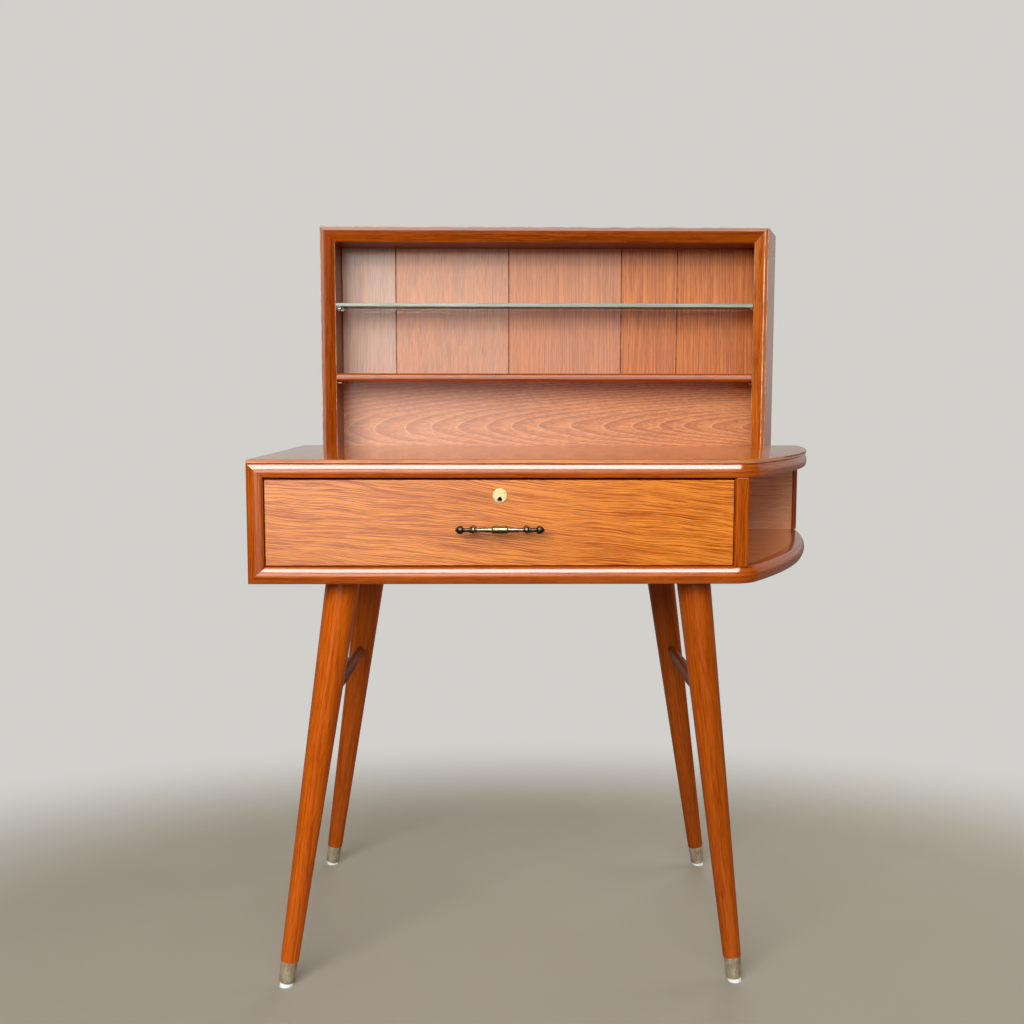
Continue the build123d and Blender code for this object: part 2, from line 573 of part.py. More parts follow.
def ferrule(name):
    """A tapered brass cup over the foot of a leg."""
    top_r, base_r, wall = FERRULE_TOP_R, FERRULE_BASE_R, FERRULE_WALL
    cup = turned([(FERRULE_BASE, base_r), (FERRULE_TOP, top_r)], leg_plane(name))
    cup = fillet(cup.edges().sort_by(Axis.Z)[0], FERRULE_EDGE_R)
    room = turned([(FERRULE_BASE + wall, base_r - wall), (FERRULE_TOP, top_r - wall),
                   (FERRULE_TOP + PAST, top_r - wall)], leg_plane(name))
    hole = rod((0, 0, 0), (0, 0, FERRULE_TOP), GLIDE_PIN_R + SCREW_FIT)
    return cup - room - leg_plane(name) * hole


def glide(name):
    """A round glide under the ferrule, level on the floor, with a pin up into the leg."""
    profile = [(-PAST, GLIDE_R), (FERRULE_BASE, GLIDE_R), (FERRULE_BASE, GLIDE_PIN_R),
               (FERRULE_BASE + GLIDE_PIN_LENGTH, GLIDE_PIN_R)]
    x, y = LEGS[name][0]
    reach = GLIDE_R + PAST
    below = block(x - reach, x + reach, y - reach, y + reach, -reach, 0)
    return turned(profile, leg_plane(name)) - below


def stretcher(side):
    """A turned spindle between the front and back legs of one side."""
    ends = [leg_point(f"{end}_{side}", STRETCHER_Z) for end in ("front", "back")]
    length = (ends[1] - ends[0]).length
    radii = [leg_radius(f"{end}_{side}", STRETCHER_Z) for end in ("front", "back")]
    s0, s1 = radii[0] - STRETCHER_SEAT, length - radii[1] + STRETCHER_SEAT
    belly = ThreePointArc((TENON_R, 0, s0), (STRETCHER_MID_R, 0, (s0 + s1) / 2), (TENON_R, 0, s1))
    t0, t1 = radii[0] - TENON_DEPTH, length - radii[1] + TENON_DEPTH
    rest = Polyline((TENON_R, 0, s1), (TENON_R, 0, t1), (0, 0, t1), (0, 0, t0), (TENON_R, 0, t0),
                    (TENON_R, 0, s0))
    spindle = revolve(make_face(belly.edges() + rest.edges()), Axis.Z)
    plane = Plane(origin=ends[0], z_dir=ends[1] - ends[0])
    socket = rod((0, 0, t0 - SCREW_FIT), (0, 0, t1 + SCREW_FIT), TENON_R + TENON_FIT)
    return plane * spindle, plane * socket


def legs():
    """Legs with ferrules and glides, stretchers, bolts and nuts."""
    parts = {}
    for side in ("left", "right"):
        spindle, socket = stretcher(side)
        parts[f"{side}_stretcher"] = spindle
        for end in ("front", "back"):
            name = f"{end}_{side}"
            parts[f"{name}_leg"] = leg(name) - socket
            parts[f"{name}_ferrule"] = ferrule(name)
            parts[f"{name}_glide"] = glide(name)
    parts["leg_bolts"] = Compound(leg_bolts())
    parts["leg_nuts"] = Compound([drill(nut, leg_bolts(SCREW_FIT)) for nut in leg_nuts()])
    return parts


# --- Drawer -------------------------------------------------------------------------
def pull_posts_x():
    """X of the pull's two posts."""
    return [DRAWER_MID_X - PULL_PITCH / 2, DRAWER_MID_X + PULL_PITCH / 2]


def pull_bar():
    """The turned bar of the pull, its two halves alike."""
    half = BARREL + ARM + COLLAR + FINIAL
    points = [(-s, r) for s, r in reversed(half)] + list(half[1:])
    middle = Plane(origin=(DRAWER_MID_X, PULL_Y, PULL_Z), z_dir=(1, 0, 0))
    return turned(points, middle)


def pull_screws(fit=0.0):
    """Screws from inside the drawer front into the pull's posts, or their holes."""
    screws = []
    for x in pull_posts_x():
        tip, seat = DRAWER_SETBACK - PULL_SCREW_DEPTH, FRONT_BACK_Y
        shank = rod((x, tip - fit, PULL_Z), (x, seat, PULL_Z), PULL_SCREW_R + fit)
        head = rod((x, seat, PULL_Z), (x, seat + PULL_SCREW_HEAD_T, PULL_Z), PULL_SCREW_HEAD_R)
        screws.append(shank if fit else shank + head)
    return screws


def pull_posts(bar):
    """A rose and a post under each collar of the bar."""
    posts = []
    face = DRAWER_SETBACK
    for x in pull_posts_x():
        profile = [(0, ROSE_R), (ROSE_RIM_T, ROSE_R), (ROSE_T, POST_FOOT_R),
                   (ROSE_T + POST_FOOT_T, POST_R), (PULL_REACH, POST_R)]
        post = turned(profile, Plane(origin=(x, face, PULL_Z), z_dir=(0, -1, 0)))
        posts.append(drill(post, [bar, *pull_screws(SCREW_FIT)]))
    return posts


def keyhole():
    """A rounded triangle, point up, cut into the front of the lock's barrel."""
    z1 = LOCK_Z - KEYHOLE_DROP
    face = DRAWER_SETBACK - DISC_T - PAST
    corners = [(DRAWER_MID_X, face, z1), (DRAWER_MID_X + KEYHOLE_W / 2, face, z1 - KEYHOLE_H),
               (DRAWER_MID_X - KEYHOLE_W / 2, face, z1 - KEYHOLE_H)]
    outline = make_face(Polyline(*corners, close=True))
    return extrude(fillet(outline.vertices(), KEYHOLE_R), KEYHOLE_DEPTH + PAST, dir=(0, 1, 0))


def lock_screws(fit=0.0):
    """Four screws through the lock's case into the drawer front, or their holes."""
    screws = []
    back = FRONT_BACK_Y + LOCK_CASE_T
    for dx in (-1, 1):
        x = DRAWER_MID_X + dx * (LOCK_CASE_W / 2 - LOCK_SCREW_INSET)
        for z in (LOCK_CASE_Z0 + LOCK_SCREW_INSET, LOCK_CASE_Z1 - LOCK_SCREW_INSET):
            tip = FRONT_BACK_Y - LOCK_SCREW_DEPTH
            shank = rod((x, tip - fit, z), (x, back + fit, z), LOCK_SCREW_R + fit)
            head = rod((x, back, z), (x, back + LOCK_SCREW_HEAD_T, z), LOCK_SCREW_HEAD_R)
            screws.append(shank if fit else shank + head)
    return screws


def lock_bolt(fit=0.0, travel=0.0):
    """The lock's bolt, or the room that it needs with fit and travel added."""
    wide, thick = LOCK_BOLT_W / 2 + fit, LOCK_BOLT_T / 2 + fit
    top = LOCK_CASE_Z1 - LOCK_BOLT_FIT
    return block(DRAWER_MID_X - wide, DRAWER_MID_X + wide, LOCK_BOLT_Y - thick, LOCK_BOLT_Y + thick,
                 top - LOCK_BOLT_H - fit, top + travel)


def strike_outline(z0, z1):
    """A block with the strike's plan between two heights."""
    half = STRIKE_W / 2
    return block(DRAWER_MID_X - half, DRAWER_MID_X + half, LOCK_BOLT_Y - STRIKE_DEPTH / 2,
                 LOCK_BOLT_Y + STRIKE_DEPTH / 2, z0, z1)


def strike_recess():
    """Recess for the strike in the top board, with a pocket for the bolt above it."""
    pocket = lock_bolt(STRIKE_FIT, LOCK_BOLT_FIT + DRAWER_TOP_GAP + LOCK_CASE_TOP_GAP + BOLT_TRAVEL)
    return strike_outline(CEILING_Z - PAST, CEILING_Z + STRIKE_T) + pocket


def strike_plate():
    """Brass plate under the top board with a slot for the bolt."""
    slot = lock_bolt(STRIKE_FIT, DRAWER_TOP_GAP + LOCK_CASE_TOP_GAP + PAST)
    return strike_outline(CEILING_Z, CEILING_Z + STRIKE_T) - slot


def drawer():
    """The drawer's box, its front, the pull and the lock."""
    mid, wall, fit = DRAWER_MID_X, DRAWER_WALL, GROOVE_FIT
    y0, y1 = FRONT_BACK_Y, BOX_BACK_Y
    inner_y1 = y1 - wall
    panel = block(BOX_X0 + wall - GROOVE_DEPTH + fit, BOX_X1 - wall + GROOVE_DEPTH - fit,
                  y0 - GROOVE_DEPTH + fit, inner_y1, PANEL_Z0, PANEL_Z1)
    groove = block(BOX_X0 + wall - GROOVE_DEPTH, BOX_X1 - wall + GROOVE_DEPTH,
                   y0 - GROOVE_DEPTH, inner_y1, PANEL_Z0 - SCREW_FIT, PANEL_Z1 + SCREW_FIT)
    bar = pull_bar()
    shaft = rod((mid, DRAWER_SETBACK, LOCK_Z), (mid, FRONT_BACK_Y, LOCK_Z), BARREL_R)
    disc = rod((mid, DRAWER_SETBACK - DISC_T, LOCK_Z), (mid, DRAWER_SETBACK, LOCK_Z), DISC_R)
    bore = rod((mid, DRAWER_SETBACK, LOCK_Z), (mid, FRONT_BACK_Y, LOCK_Z), BARREL_R + SCREW_FIT)
    front = block(DRAWER_X0, DRAWER_X1, DRAWER_SETBACK, FRONT_BACK_Y, DRAWER_Z0, DRAWER_Z1)
    front = fillet(edges_at(front, Axis.Y, DRAWER_SETBACK), DRAWER_FRONT_R)
    lock_holes = lock_screws(SCREW_FIT)
    lock_case = block(mid - LOCK_CASE_W / 2, mid + LOCK_CASE_W / 2, FRONT_BACK_Y,
                      FRONT_BACK_Y + LOCK_CASE_T, LOCK_CASE_Z0, LOCK_CASE_Z1)
    side_box = (y0, y1, BOX_Z0, BOX_Z1)
    return {
        "drawer_front": drill(front, [groove, bore, *pull_screws(SCREW_FIT), *lock_holes]),
        "drawer_left_side": block(BOX_X0, BOX_X0 + wall, *side_box) - groove,
        "drawer_right_side": block(BOX_X1 - wall, BOX_X1, *side_box) - groove,
        "drawer_back": block(BOX_X0 + wall, BOX_X1 - wall, inner_y1, y1, PANEL_Z0, BOX_Z1),
        "drawer_bottom": panel,
        "pull_bar": bar,
        "pull_posts": Compound(pull_posts(bar)),
        "pull_screws": Compound(pull_screws()),
        "lock_barrel": shaft + disc - keyhole(),
        "lock_case": drill(lock_case, [lock_bolt(LOCK_BOLT_FIT, PAST), *lock_holes]),
        "lock_screws": Compound(lock_screws()),
        "lock_bolt": lock_bolt(),
    }


def save(parts):
    """Write each piece to its own file, moved to the part's origin."""
    for name, shape in parts.items():
        export_step(Pos(-ORIGIN.X, -ORIGIN.Y, -ORIGIN.Z) * shape, f"parts/{name}.step")


save({**case(), **hutch(), **legs(), **drawer()})
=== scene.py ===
"""Teak writing desk with a hutch: finishes, turned pieces and a studio round its construction model."""

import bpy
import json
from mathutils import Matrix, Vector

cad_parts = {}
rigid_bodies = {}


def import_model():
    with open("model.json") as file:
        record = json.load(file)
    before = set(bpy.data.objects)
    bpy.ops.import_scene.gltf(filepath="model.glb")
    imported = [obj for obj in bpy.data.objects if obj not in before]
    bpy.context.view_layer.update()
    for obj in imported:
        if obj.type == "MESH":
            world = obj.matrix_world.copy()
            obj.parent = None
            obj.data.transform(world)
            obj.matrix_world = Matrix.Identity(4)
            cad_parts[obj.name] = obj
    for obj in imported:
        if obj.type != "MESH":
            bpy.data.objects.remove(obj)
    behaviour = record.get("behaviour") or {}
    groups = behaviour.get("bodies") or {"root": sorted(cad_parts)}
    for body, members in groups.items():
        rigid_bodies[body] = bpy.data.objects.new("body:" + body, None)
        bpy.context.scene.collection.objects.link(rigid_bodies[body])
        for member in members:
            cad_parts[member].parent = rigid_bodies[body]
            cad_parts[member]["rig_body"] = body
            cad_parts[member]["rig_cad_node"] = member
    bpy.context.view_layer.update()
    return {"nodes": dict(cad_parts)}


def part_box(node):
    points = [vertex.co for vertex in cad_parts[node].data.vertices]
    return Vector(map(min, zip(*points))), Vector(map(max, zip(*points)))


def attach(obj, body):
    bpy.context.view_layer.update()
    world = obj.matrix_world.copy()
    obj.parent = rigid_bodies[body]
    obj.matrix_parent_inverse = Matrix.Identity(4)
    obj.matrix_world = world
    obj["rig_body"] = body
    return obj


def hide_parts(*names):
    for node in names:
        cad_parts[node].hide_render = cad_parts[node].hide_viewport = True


bl_info = {
    "name": "Teak Writing Desk",
    "version": (1, 0, 0),
    "blender": (4, 5, 0),
    "location": "3D View > Sidebar > Desk",
    "description": "Models and finishes the pieces of a teak writing desk round its construction model",
    "category": "Object",
}

import json
from math import acos, atan2, cos, pi, radians, sin, tan

import bpy
from mathutils import Matrix, Vector

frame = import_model()

# --- Places taken from the frame, in metres -------------------------------------------
TOP_LOW, TOP_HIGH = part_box("top_edge_moulding")
BASE_LOW, BASE_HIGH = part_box("bottom_edge_moulding")
SIDE_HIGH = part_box("left_front_moulding")[1]
DIVIDER_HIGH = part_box("divider_panel")[1]
DRAWER_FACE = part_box("drawer_front")[0].y
BAR_LOW, BAR_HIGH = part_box("pull_bar")
LOCK_LOW, LOCK_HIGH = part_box("lock_barrel")

LEFT, RIGHT = TOP_LOW.x, TOP_HIGH.x
FRONT, BACK = TOP_LOW.y, TOP_HIGH.y
UNDERSIDE = BASE_LOW.z
MIDDLE_X = (BAR_LOW.x + BAR_HIGH.x) / 2
BAR_AXIS = (BAR_LOW + BAR_HIGH) / 2

# Curved right end, in plan: a tight arc, then one long arc tangent to it.
CURVE_LEAD = 0.021
CORNER_RADIUS = 0.048
CORNER_TURN = radians(53.2)
CORNER_CENTRE = Vector((DIVIDER_HIGH.x - CURVE_LEAD, FRONT + CORNER_RADIUS))
CORNER_END = CORNER_CENTRE + CORNER_RADIUS * Vector((sin(CORNER_TURN), -cos(CORNER_TURN)))
CHORD = Vector((RIGHT, BACK)) - CORNER_END
SWEEP_RADIUS = CHORD.length / (2 * sin(atan2(CHORD.y, CHORD.x) - CORNER_TURN))
SWEEP_CENTRE = CORNER_END + SWEEP_RADIUS * Vector((-sin(CORNER_TURN), cos(CORNER_TURN)))
SWEEP_TURN = acos((SWEEP_CENTRE.y - BACK) / SWEEP_RADIUS) - CORNER_TURN

# Foot and top of each leg's axis, in from the nearer side and from the front or the back.
LEG_INSETS = {
    "front_left": ((0.038, 0.025), (0.123, 0.068)),
    "front_right": ((0.190, 0.032), (0.2545, 0.068)),
    "back_left": ((0.043, 0.022), (0.1335, 0.083)),
    "back_right": ((0.1705, 0.033), (0.261, 0.083)),
}
# Where a ferrule starts and ends along its leg's axis, and the height of the stretchers.
FERRULE_BASE, FERRULE_TOP = 0.0055, 0.037
STRETCHER_HEIGHT = 0.411
MM = 0.001


# --- Node helpers ---------------------------------------------------------------------
class Nodes:
    """A node tree and short ways to add nodes to it."""

    def __init__(self, tree):
        self.tree = tree

    def link(self, source, target):
        self.tree.links.new(source, target)

    def add(self, kind, **settings):
        node = self.tree.nodes.new(kind)
        for key, value in settings.items():
            setattr(node, key, value)
        return node

    def feed(self, socket, value):
        """Link a socket or set a plain value."""
        if isinstance(value, bpy.types.NodeSocket):
            self.link(value, socket)
        elif value is not None:
            socket.default_value = value

    def calc(self, operation, *values, clamp=False):
        node = self.add("ShaderNodeMath", operation=operation, use_clamp=clamp)
        for socket, value in zip(node.inputs, values):
            self.feed(socket, value)
        return node.outputs[0]

    def times(self, first, second):
        return self.calc("MULTIPLY", first, second)

    def plus(self, first, second):
        return self.calc("ADD", first, second)

    def vector(self, operation, *values):
        node = self.add("ShaderNodeVectorMath", operation=operation)
        for socket, value in zip(node.inputs, values):
            self.feed(socket, value)
        return node.outputs["Value" if operation == "LENGTH" else "Vector"]

    def place(self, location=(0, 0, 0), rotation=(0, 0, 0), attribute=None):
        """Coordinates with the piece's middle at zero, turned by a rotation."""
        if attribute:
            source = self.add("ShaderNodeAttribute", attribute_name=attribute).outputs["Vector"]
        else:
            source = self.add("ShaderNodeTexCoord").outputs["Object"]
        mapping = self.add("ShaderNodeMapping", vector_type="TEXTURE")
        self.link(source, mapping.inputs["Vector"])
        mapping.inputs["Location"].default_value = location
        mapping.inputs["Rotation"].default_value = rotation
        return mapping.outputs[0]

    def noise(self, vector, scale, detail=2.0, roughness=0.5, output="Fac"):
        """Noise whose scale is given in cells a metre, for every axis or for each."""
        cells = scale if isinstance(scale, tuple) else (scale, scale, scale)
        node = self.add("ShaderNodeTexNoise")
        self.link(self.vector("MULTIPLY", vector, cells), node.inputs["Vector"])
        node.inputs["Scale"].default_value = 1.0
        node.inputs["Detail"].default_value = detail
        node.inputs["Roughness"].default_value = roughness
        return node.outputs[output]

    def spread(self, value, low, high, to_low=0.0, to_high=1.0):
        """A value moved from one range to another, smoothly and clamped."""
        node = self.add("ShaderNodeMapRange", interpolation_type="SMOOTHSTEP")
        for name, number in (("Value", value), ("From Min", low), ("From Max", high),
                             ("To Min", to_low), ("To Max", to_high)):
            self.feed(node.inputs[name], number)
        return node.outputs[0]

    def mix(self, share, first, second, blend="MIX"):
        node = self.add("ShaderNodeMix", data_type="RGBA", blend_type=blend)
        self.feed(node.inputs["Factor"], share)
        self.feed(node.inputs["A"], (*first, 1) if isinstance(first, tuple) else first)
        self.feed(node.inputs["B"], (*second, 1) if isinstance(second, tuple) else second)
        return node.outputs["Result"]

    def bump(self, height, strength, distance):
        node = self.add("ShaderNodeBump")
        node.inputs["Strength"].default_value = strength
        node.inputs["Distance"].default_value = distance
        self.link(height, node.inputs["Height"])
        return node.outputs[0]

    def parts(self, vector):
        """The three parts of a vector."""
        node = self.add("ShaderNodeSeparateXYZ")
        self.link(vector, node.inputs[0])
        return node.outputs

    def blend(self, share, first, second):
        """Mix two shaders."""
        node = self.add("ShaderNodeMixShader")
        for socket, value in zip(node.inputs, (share, first, second)):
            self.feed(socket, value)
        return node.outputs[0]


class Finish(Nodes):
    """One material with its shader."""

    def __init__(self, name):
        self.material = bpy.data.materials.new(name)
        self.material.use_nodes = True
        super().__init__(self.material.node_tree)
        self.shader = self.tree.nodes["Principled BSDF"]

    def set(self, **values):
        """Set or link the shader's sockets, underscores standing for spaces."""
        for key, value in values.items():
            name = key.replace("_", " ")
            if isinstance(value, tuple) and len(value) == 3 and "Color" in name:
                value = (*value, 1)
            self.feed(self.shader.inputs[name], value)
        return self.material


# --- Teak -----------------------------------------------------------------------------
# Each timber's colours in the panel, and how strongly they are laid on. Several strengths are painted
# light and shade, lighter or darker copies of the frame's colours: the hutch is darker and the
# stretchers darkest, painted shade; the top and bottom mouldings are lighter, painted light; each leg
# is lighter or darker by where it stands to the light, lightest at the front left and darkest at the
# back right.
TONES = {
    "timber": ("timber", 1.0),
    "frame": ("frame", 1.0),
    # Painted shade: the hutch's side and top boards are darker where they turn from the light.
    "hutch": ("frame", 0.72),
    # Painted light: the top and bottom mouldings are lighter than the upright one.
    "moulding": ("frame", 1.2),
    # Painted light and shade: each leg is lighter or darker by where it stands to the light.
    "front_left": ("frame", 1.27),
    "front_right": ("frame", 0.98),
    "back_left": ("frame", 1.0),
    "back_right": ("frame", 0.82),
    # Painted shade: the stretchers are darkest, in the shade under the case.
    "stretcher": ("frame", 0.45),
}
VEIN_DEPTH = 0.35           # share of the dark wood's colour that is left in its pores

# Cells a metre of the patterns in the wood: across the grain both ways, then along it.
BEND_CELLS = (9.0, 9.0, 3.5)
WAVE_CELLS = (45.0, 45.0, 14.0)
RING_CELLS = (20.0, 20.0, 3.0)
BROAD_CELLS = (150.0, 150.0, 4.0)
STREAK_CELLS = (1100.0, 1100.0, 11.0)
FIBRE_CELLS = (1500.0, 1500.0, 45.0)
PORE_CELLS = (1100.0, 1100.0, 25.0)
PATCH_CELLS = (11.0, 11.0, 2.4)
WORN_CELLS = (90.0, 90.0, 5.0)
CRACK_CELLS = (520.0, 520.0, 13.0)
POLISH_CELLS = (16.0, 16.0, 9.0)

FLAME_COLOUR = (0.85, 0.50, 0.26)
WORN_COLOUR = (0.40, 0.24, 0.15)
# Pale haze mixed into the wood's colour: a painted reflection of the bright room on the varnish.
PAINTED_HAZE_COLOUR = (0.80, 0.74, 0.68)
PAINTED_HAZE_REACH = 0.25           # from a board's middle, where the painted haze is as thick as it gets


def tone(shade):
    """Light, dark and vein colours of a timber."""
    name, strength = TONES[shade]
    colours = bpy.context.scene.desk_colours
    light = tuple(strength * part for part in getattr(colours, name + "_light"))
    dark = tuple(strength * part for part in getattr(colours, name + "_dark"))
    return light, dark, tuple(VEIN_DEPTH * part for part in dark)


def grain_turn(grain, tilt, lean):
    """Rotation that lays the grain along an axis, tilted in the board's face and leaning out of it."""
    return {"X": (0, pi / 2 + tilt, lean), "Y": (lean - pi / 2, 0, tilt), "Z": (lean, tilt, 0)}[grain]


def teak(name, middle, grain="X", tilt=0.0, lean=0.0, turn=None, attribute=None, pith=(0.09, 0.04),
         ring=0.0045, shade="timber", light=None, dark=None, vein=None, figure=0.30, streaks=0.5,
         dashes=0.45, waver=0.006, swing=(0.4, 0.4), flame=0.0, grey=0.0, painted_haze=(0.0, 0.0), coat=1.0,
         gloss=0.11, thick=1.5, relief=0.25):
    """Varnished teak.

    Its rings lie round a pith, and it has wavy streaks, fibres and short dark pores. Flame lights
    the rings' edges, grey wears the surface, and the pale haze laid over the colour, thin to thick
    along the board, is a painted reflection of the bright room on the varnish.
    """
    f = Finish(name)
    light, dark, vein = (given or usual for given, usual in zip((light, dark, vein), tone(shade)))
    p = f.place(tuple(middle), turn or grain_turn(grain, tilt, lean), attribute)
    q = p
    for cells, reach in ((BEND_CELLS, 2 * waver), (WAVE_CELLS, waver / 3)):
        shift = f.vector("SUBTRACT", f.noise(p, cells, 2.0, 0.5, "Color"), (0.5, 0.5, 0.5))
        q = f.vector("ADD", q, f.vector("MULTIPLY", shift, (reach * swing[0], reach * swing[1], 0.0)))
    flat = f.vector("MULTIPLY", f.vector("SUBTRACT", q, (*pith, 0.0)), (1.0, 1.0, 0.0))
    years = f.calc("DIVIDE", f.vector("LENGTH", flat), ring)
    years = f.plus(years, f.times(f.noise(p, RING_CELLS, 1.0), 3.0))
    season = f.calc("FRACT", years)
    late = f.times(f.spread(season, 0.2, 0.85), f.spread(season, 1.0, 0.9))

    broad = f.noise(q, BROAD_CELLS, 2.0, 0.5)
    streak = f.noise(q, STREAK_CELLS, 4.0, 0.62)
    fibre = f.noise(q, FIBRE_CELLS, 3.0, 0.6)
    patch = f.noise(p, PATCH_CELLS, 3.0, 0.55)
    dash = f.spread(f.noise(q, PORE_CELLS, 2.0, 0.55), 0.56, 0.67)

    share = f.times(late, figure)
    for pattern, *bounds in ((broad, 0.3, 0.7, -0.15, 0.2),
                             (streak, 0.39, 0.63, -0.8 * streaks, streaks),
                             (patch, 0.3, 0.7, -0.15, 0.25),
                             (fibre, 0.34, 0.66, -0.2, 0.3)):
        share = f.plus(share, f.spread(pattern, *bounds))
    colour = f.mix(f.calc("ADD", share, 0.18, clamp=True), light, dark)
    colour = f.mix(f.times(dash, dashes), colour, vein)
    if flame:
        edge = f.times(f.spread(season, 0.90, 0.97), f.spread(season, 1.0, 0.985))
        colour = f.mix(f.times(edge, flame), colour, FLAME_COLOUR)
    if grey:
        worn = f.spread(f.noise(q, WORN_CELLS, 4.0, 0.65), 0.35, 0.65, 0.3 * grey, grey)
        colour = f.mix(worn, colour, WORN_COLOUR)
        crack = f.spread(f.noise(q, CRACK_CELLS, 3.0, 0.7), 0.53, 0.63)
        colour = f.mix(f.times(crack, grey), colour, vein)

    # Painted reflection: a pale haze mixed into the colour, thinner or thicker along the board.
    if any(painted_haze):
        along = f.parts(f.place(tuple(middle)))[0]
        colour = f.mix(f.spread(along, -PAINTED_HAZE_REACH, PAINTED_HAZE_REACH, *painted_haze), colour, PAINTED_HAZE_COLOUR)

    grooves = f.calc("SUBTRACT", f.times(fibre, 0.6), dash)
    rough = f.spread(fibre, 0.3, 0.7, 0.36, 0.48)
    f.set(Base_Color=colour, Roughness=rough, Specular_IOR_Level=0.04,
          Normal=f.bump(grooves, relief, 0.15 * MM),
          Coat_Weight=coat, Coat_Roughness=gloss, Coat_IOR=thick)
    pores = f.plus(f.times(dash, -0.05), f.times(streak, 0.05))
    waves = f.plus(f.noise(p, POLISH_CELLS, 3.0, 0.6), pores)
    f.link(f.bump(waves, 0.1, 2.5 * MM), f.shader.inputs["Coat Normal"])
    return f.material


def dark_arris(name="Stained arris", low=(0.12, 0.03, 0.008), high=(0.28, 0.08, 0.022)):
    """Teak where old polish has gathered along an edge."""
    f = Finish(name)
    stain = f.spread(f.noise(f.place(), 60.0, 4.0, 0.65), 0.35, 0.65)
    return f.set(Base_Color=f.mix(stain, low, high), Roughness=f.spread(stain, 0.0, 1.0, 0.35, 0.5),
                 Specular_IOR_Level=0.05)


def worn_and_highlit_arris(name="Worn arris", low=(0.46, 0.17, 0.05), high=(0.82, 0.50, 0.30)):
    """Teak lighter along an edge: colour rubbed thin by handling, and a painted highlight on the arris.
    """
    f = Finish(name)
    rub = f.spread(f.noise(f.place(), 30.0, 4.0, 0.65), 0.38, 0.62)
    return f.set(Base_Color=f.mix(rub, low, high), Roughness=f.spread(rub, 0.0, 1.0, 0.28, 0.4),
                 Coat_Weight=0.8, Coat_Roughness=0.2)


# --- Metals, glass and nylon ------------------------------------------------------------
def old_bronze():
    """Dark antique bronze, rubbed bright but not near its ends; near the drawer's face it is kept dark,
    painted shade behind the bar.
    """
    f = Finish("Antique bronze")
    p = f.place(tuple(BAR_AXIS))
    x, y, _ = f.parts(p)
    cloud = f.noise(p, (150.0, 260.0, 260.0), 3.0, 0.55)
    inward = f.spread(f.calc("ABSOLUTE", x), 33 * MM, 43 * MM, 1.0, 0.25)
    # Painted shade: the posts and roses near the drawer's face stay dark where the bar shades them.
    out_of_painted_shade = f.spread(y, 2 * MM, 7 * MM, 1.0, 0.0)
    rub = f.times(f.spread(cloud, 0.25, 0.75, 0.4, 1.0), inward)
    rub = f.times(rub, out_of_painted_shade)
    colour = f.mix(rub, (0.07, 0.048, 0.03), tuple(bpy.context.scene.desk_colours.bronze))
    rough = f.spread(rub, 0.0, 1.0, 0.45, 0.30)
    normal = f.bump(f.noise(p, 900.0, 2.0), 0.08, 0.08 * MM)
    return f.set(Base_Color=colour, Metallic=1.0, Roughness=rough, Normal=normal)


def aged_brass():
    """Dull grey-brown brass with darker stains, as on worn ferrules."""
    f = Finish("Aged brass")
    p = f.place()
    stain = f.noise(p, (120.0, 120.0, 60.0), 4.0, 0.65)
    fine = f.noise(p, (600.0, 600.0, 300.0), 3.0, 0.6)
    colour = f.mix(f.spread(stain, 0.35, 0.68), (0.66, 0.56, 0.40), (0.38, 0.27, 0.16))
    colour = f.mix(f.spread(fine, 0.55, 0.75, 0.0, 0.4), colour, (0.80, 0.74, 0.60))
    rough = f.spread(stain, 0.3, 0.7, 0.32, 0.5)
    return f.set(Base_Color=colour, Metallic=0.55, Roughness=rough, Normal=f.bump(fine, 0.2, 0.1 * MM))


def lock_brass():
    """Bright yellow brass with small scratches and a few dark specks."""
    f = Finish("Lock brass")
    p = f.place(tuple((LOCK_LOW + LOCK_HIGH) / 2))
    speck = f.noise(p, 420.0, 3.0, 0.6)
    brass = tuple(bpy.context.scene.desk_colours.brass)
    colour = f.mix(f.spread(speck, 0.56, 0.68), brass, (0.60, 0.30, 0.09))
    scratch = f.noise(p, (2400.0, 2400.0, 300.0), 2.0)
    return f.set(Base_Color=colour, Metallic=0.6, Roughness=f.spread(speck, 0.3, 0.7, 0.42, 0.55),
                 Normal=f.bump(scratch, 0.12, 0.05 * MM))


def keyhole_shade():
    """Near-black colour inside the keyhole: painted shade in the deep hole."""
    f = Finish("Keyway")
    cloud = f.noise(f.place(), 900.0, 2.0)
    return f.set(Base_Color=f.mix(cloud, (0.012, 0.009, 0.006), (0.03, 0.022, 0.015)),
                 Roughness=f.spread(cloud, 0.3, 0.7, 0.6, 0.8), Specular_IOR_Level=0.1)


def clouded(name, cloud, first, second, rough, split=(0.3, 0.7), **settings):
    """A finish that drifts between two colours; its cloud is a scale, a detail and a roughness."""
    f = Finish(name)
    cloud = f.noise(f.place(), *cloud)
    return f.set(Base_Color=f.mix(f.spread(cloud, *split), first, second),
                 Roughness=f.spread(cloud, 0.3, 0.7, *rough), **settings)


def plain_steel():
    """Bright zinc-plated steel for hidden fixings."""
    return clouded("Plated steel", (300.0, 3.0), (0.55, 0.55, 0.54), (0.42, 0.42, 0.41), (0.25, 0.4),
                   Metallic=1.0)


def nickel():
    """Polished nickel of the shelf pins."""
    return clouded("Pin nickel", (500.0, 2.0), (0.82, 0.80, 0.77), (0.66, 0.63, 0.60), (0.14, 0.24),
                   Metallic=1.0)


def white_nylon():
    """White nylon of the glides, a little scuffed."""
    return clouded("White nylon", (400.0, 4.0, 0.6), (0.86, 0.86, 0.84), (0.62, 0.60, 0.56),
                   (0.35, 0.5), split=(0.55, 0.8), Subsurface_Weight=0.15, Subsurface_Scale=2 * MM)


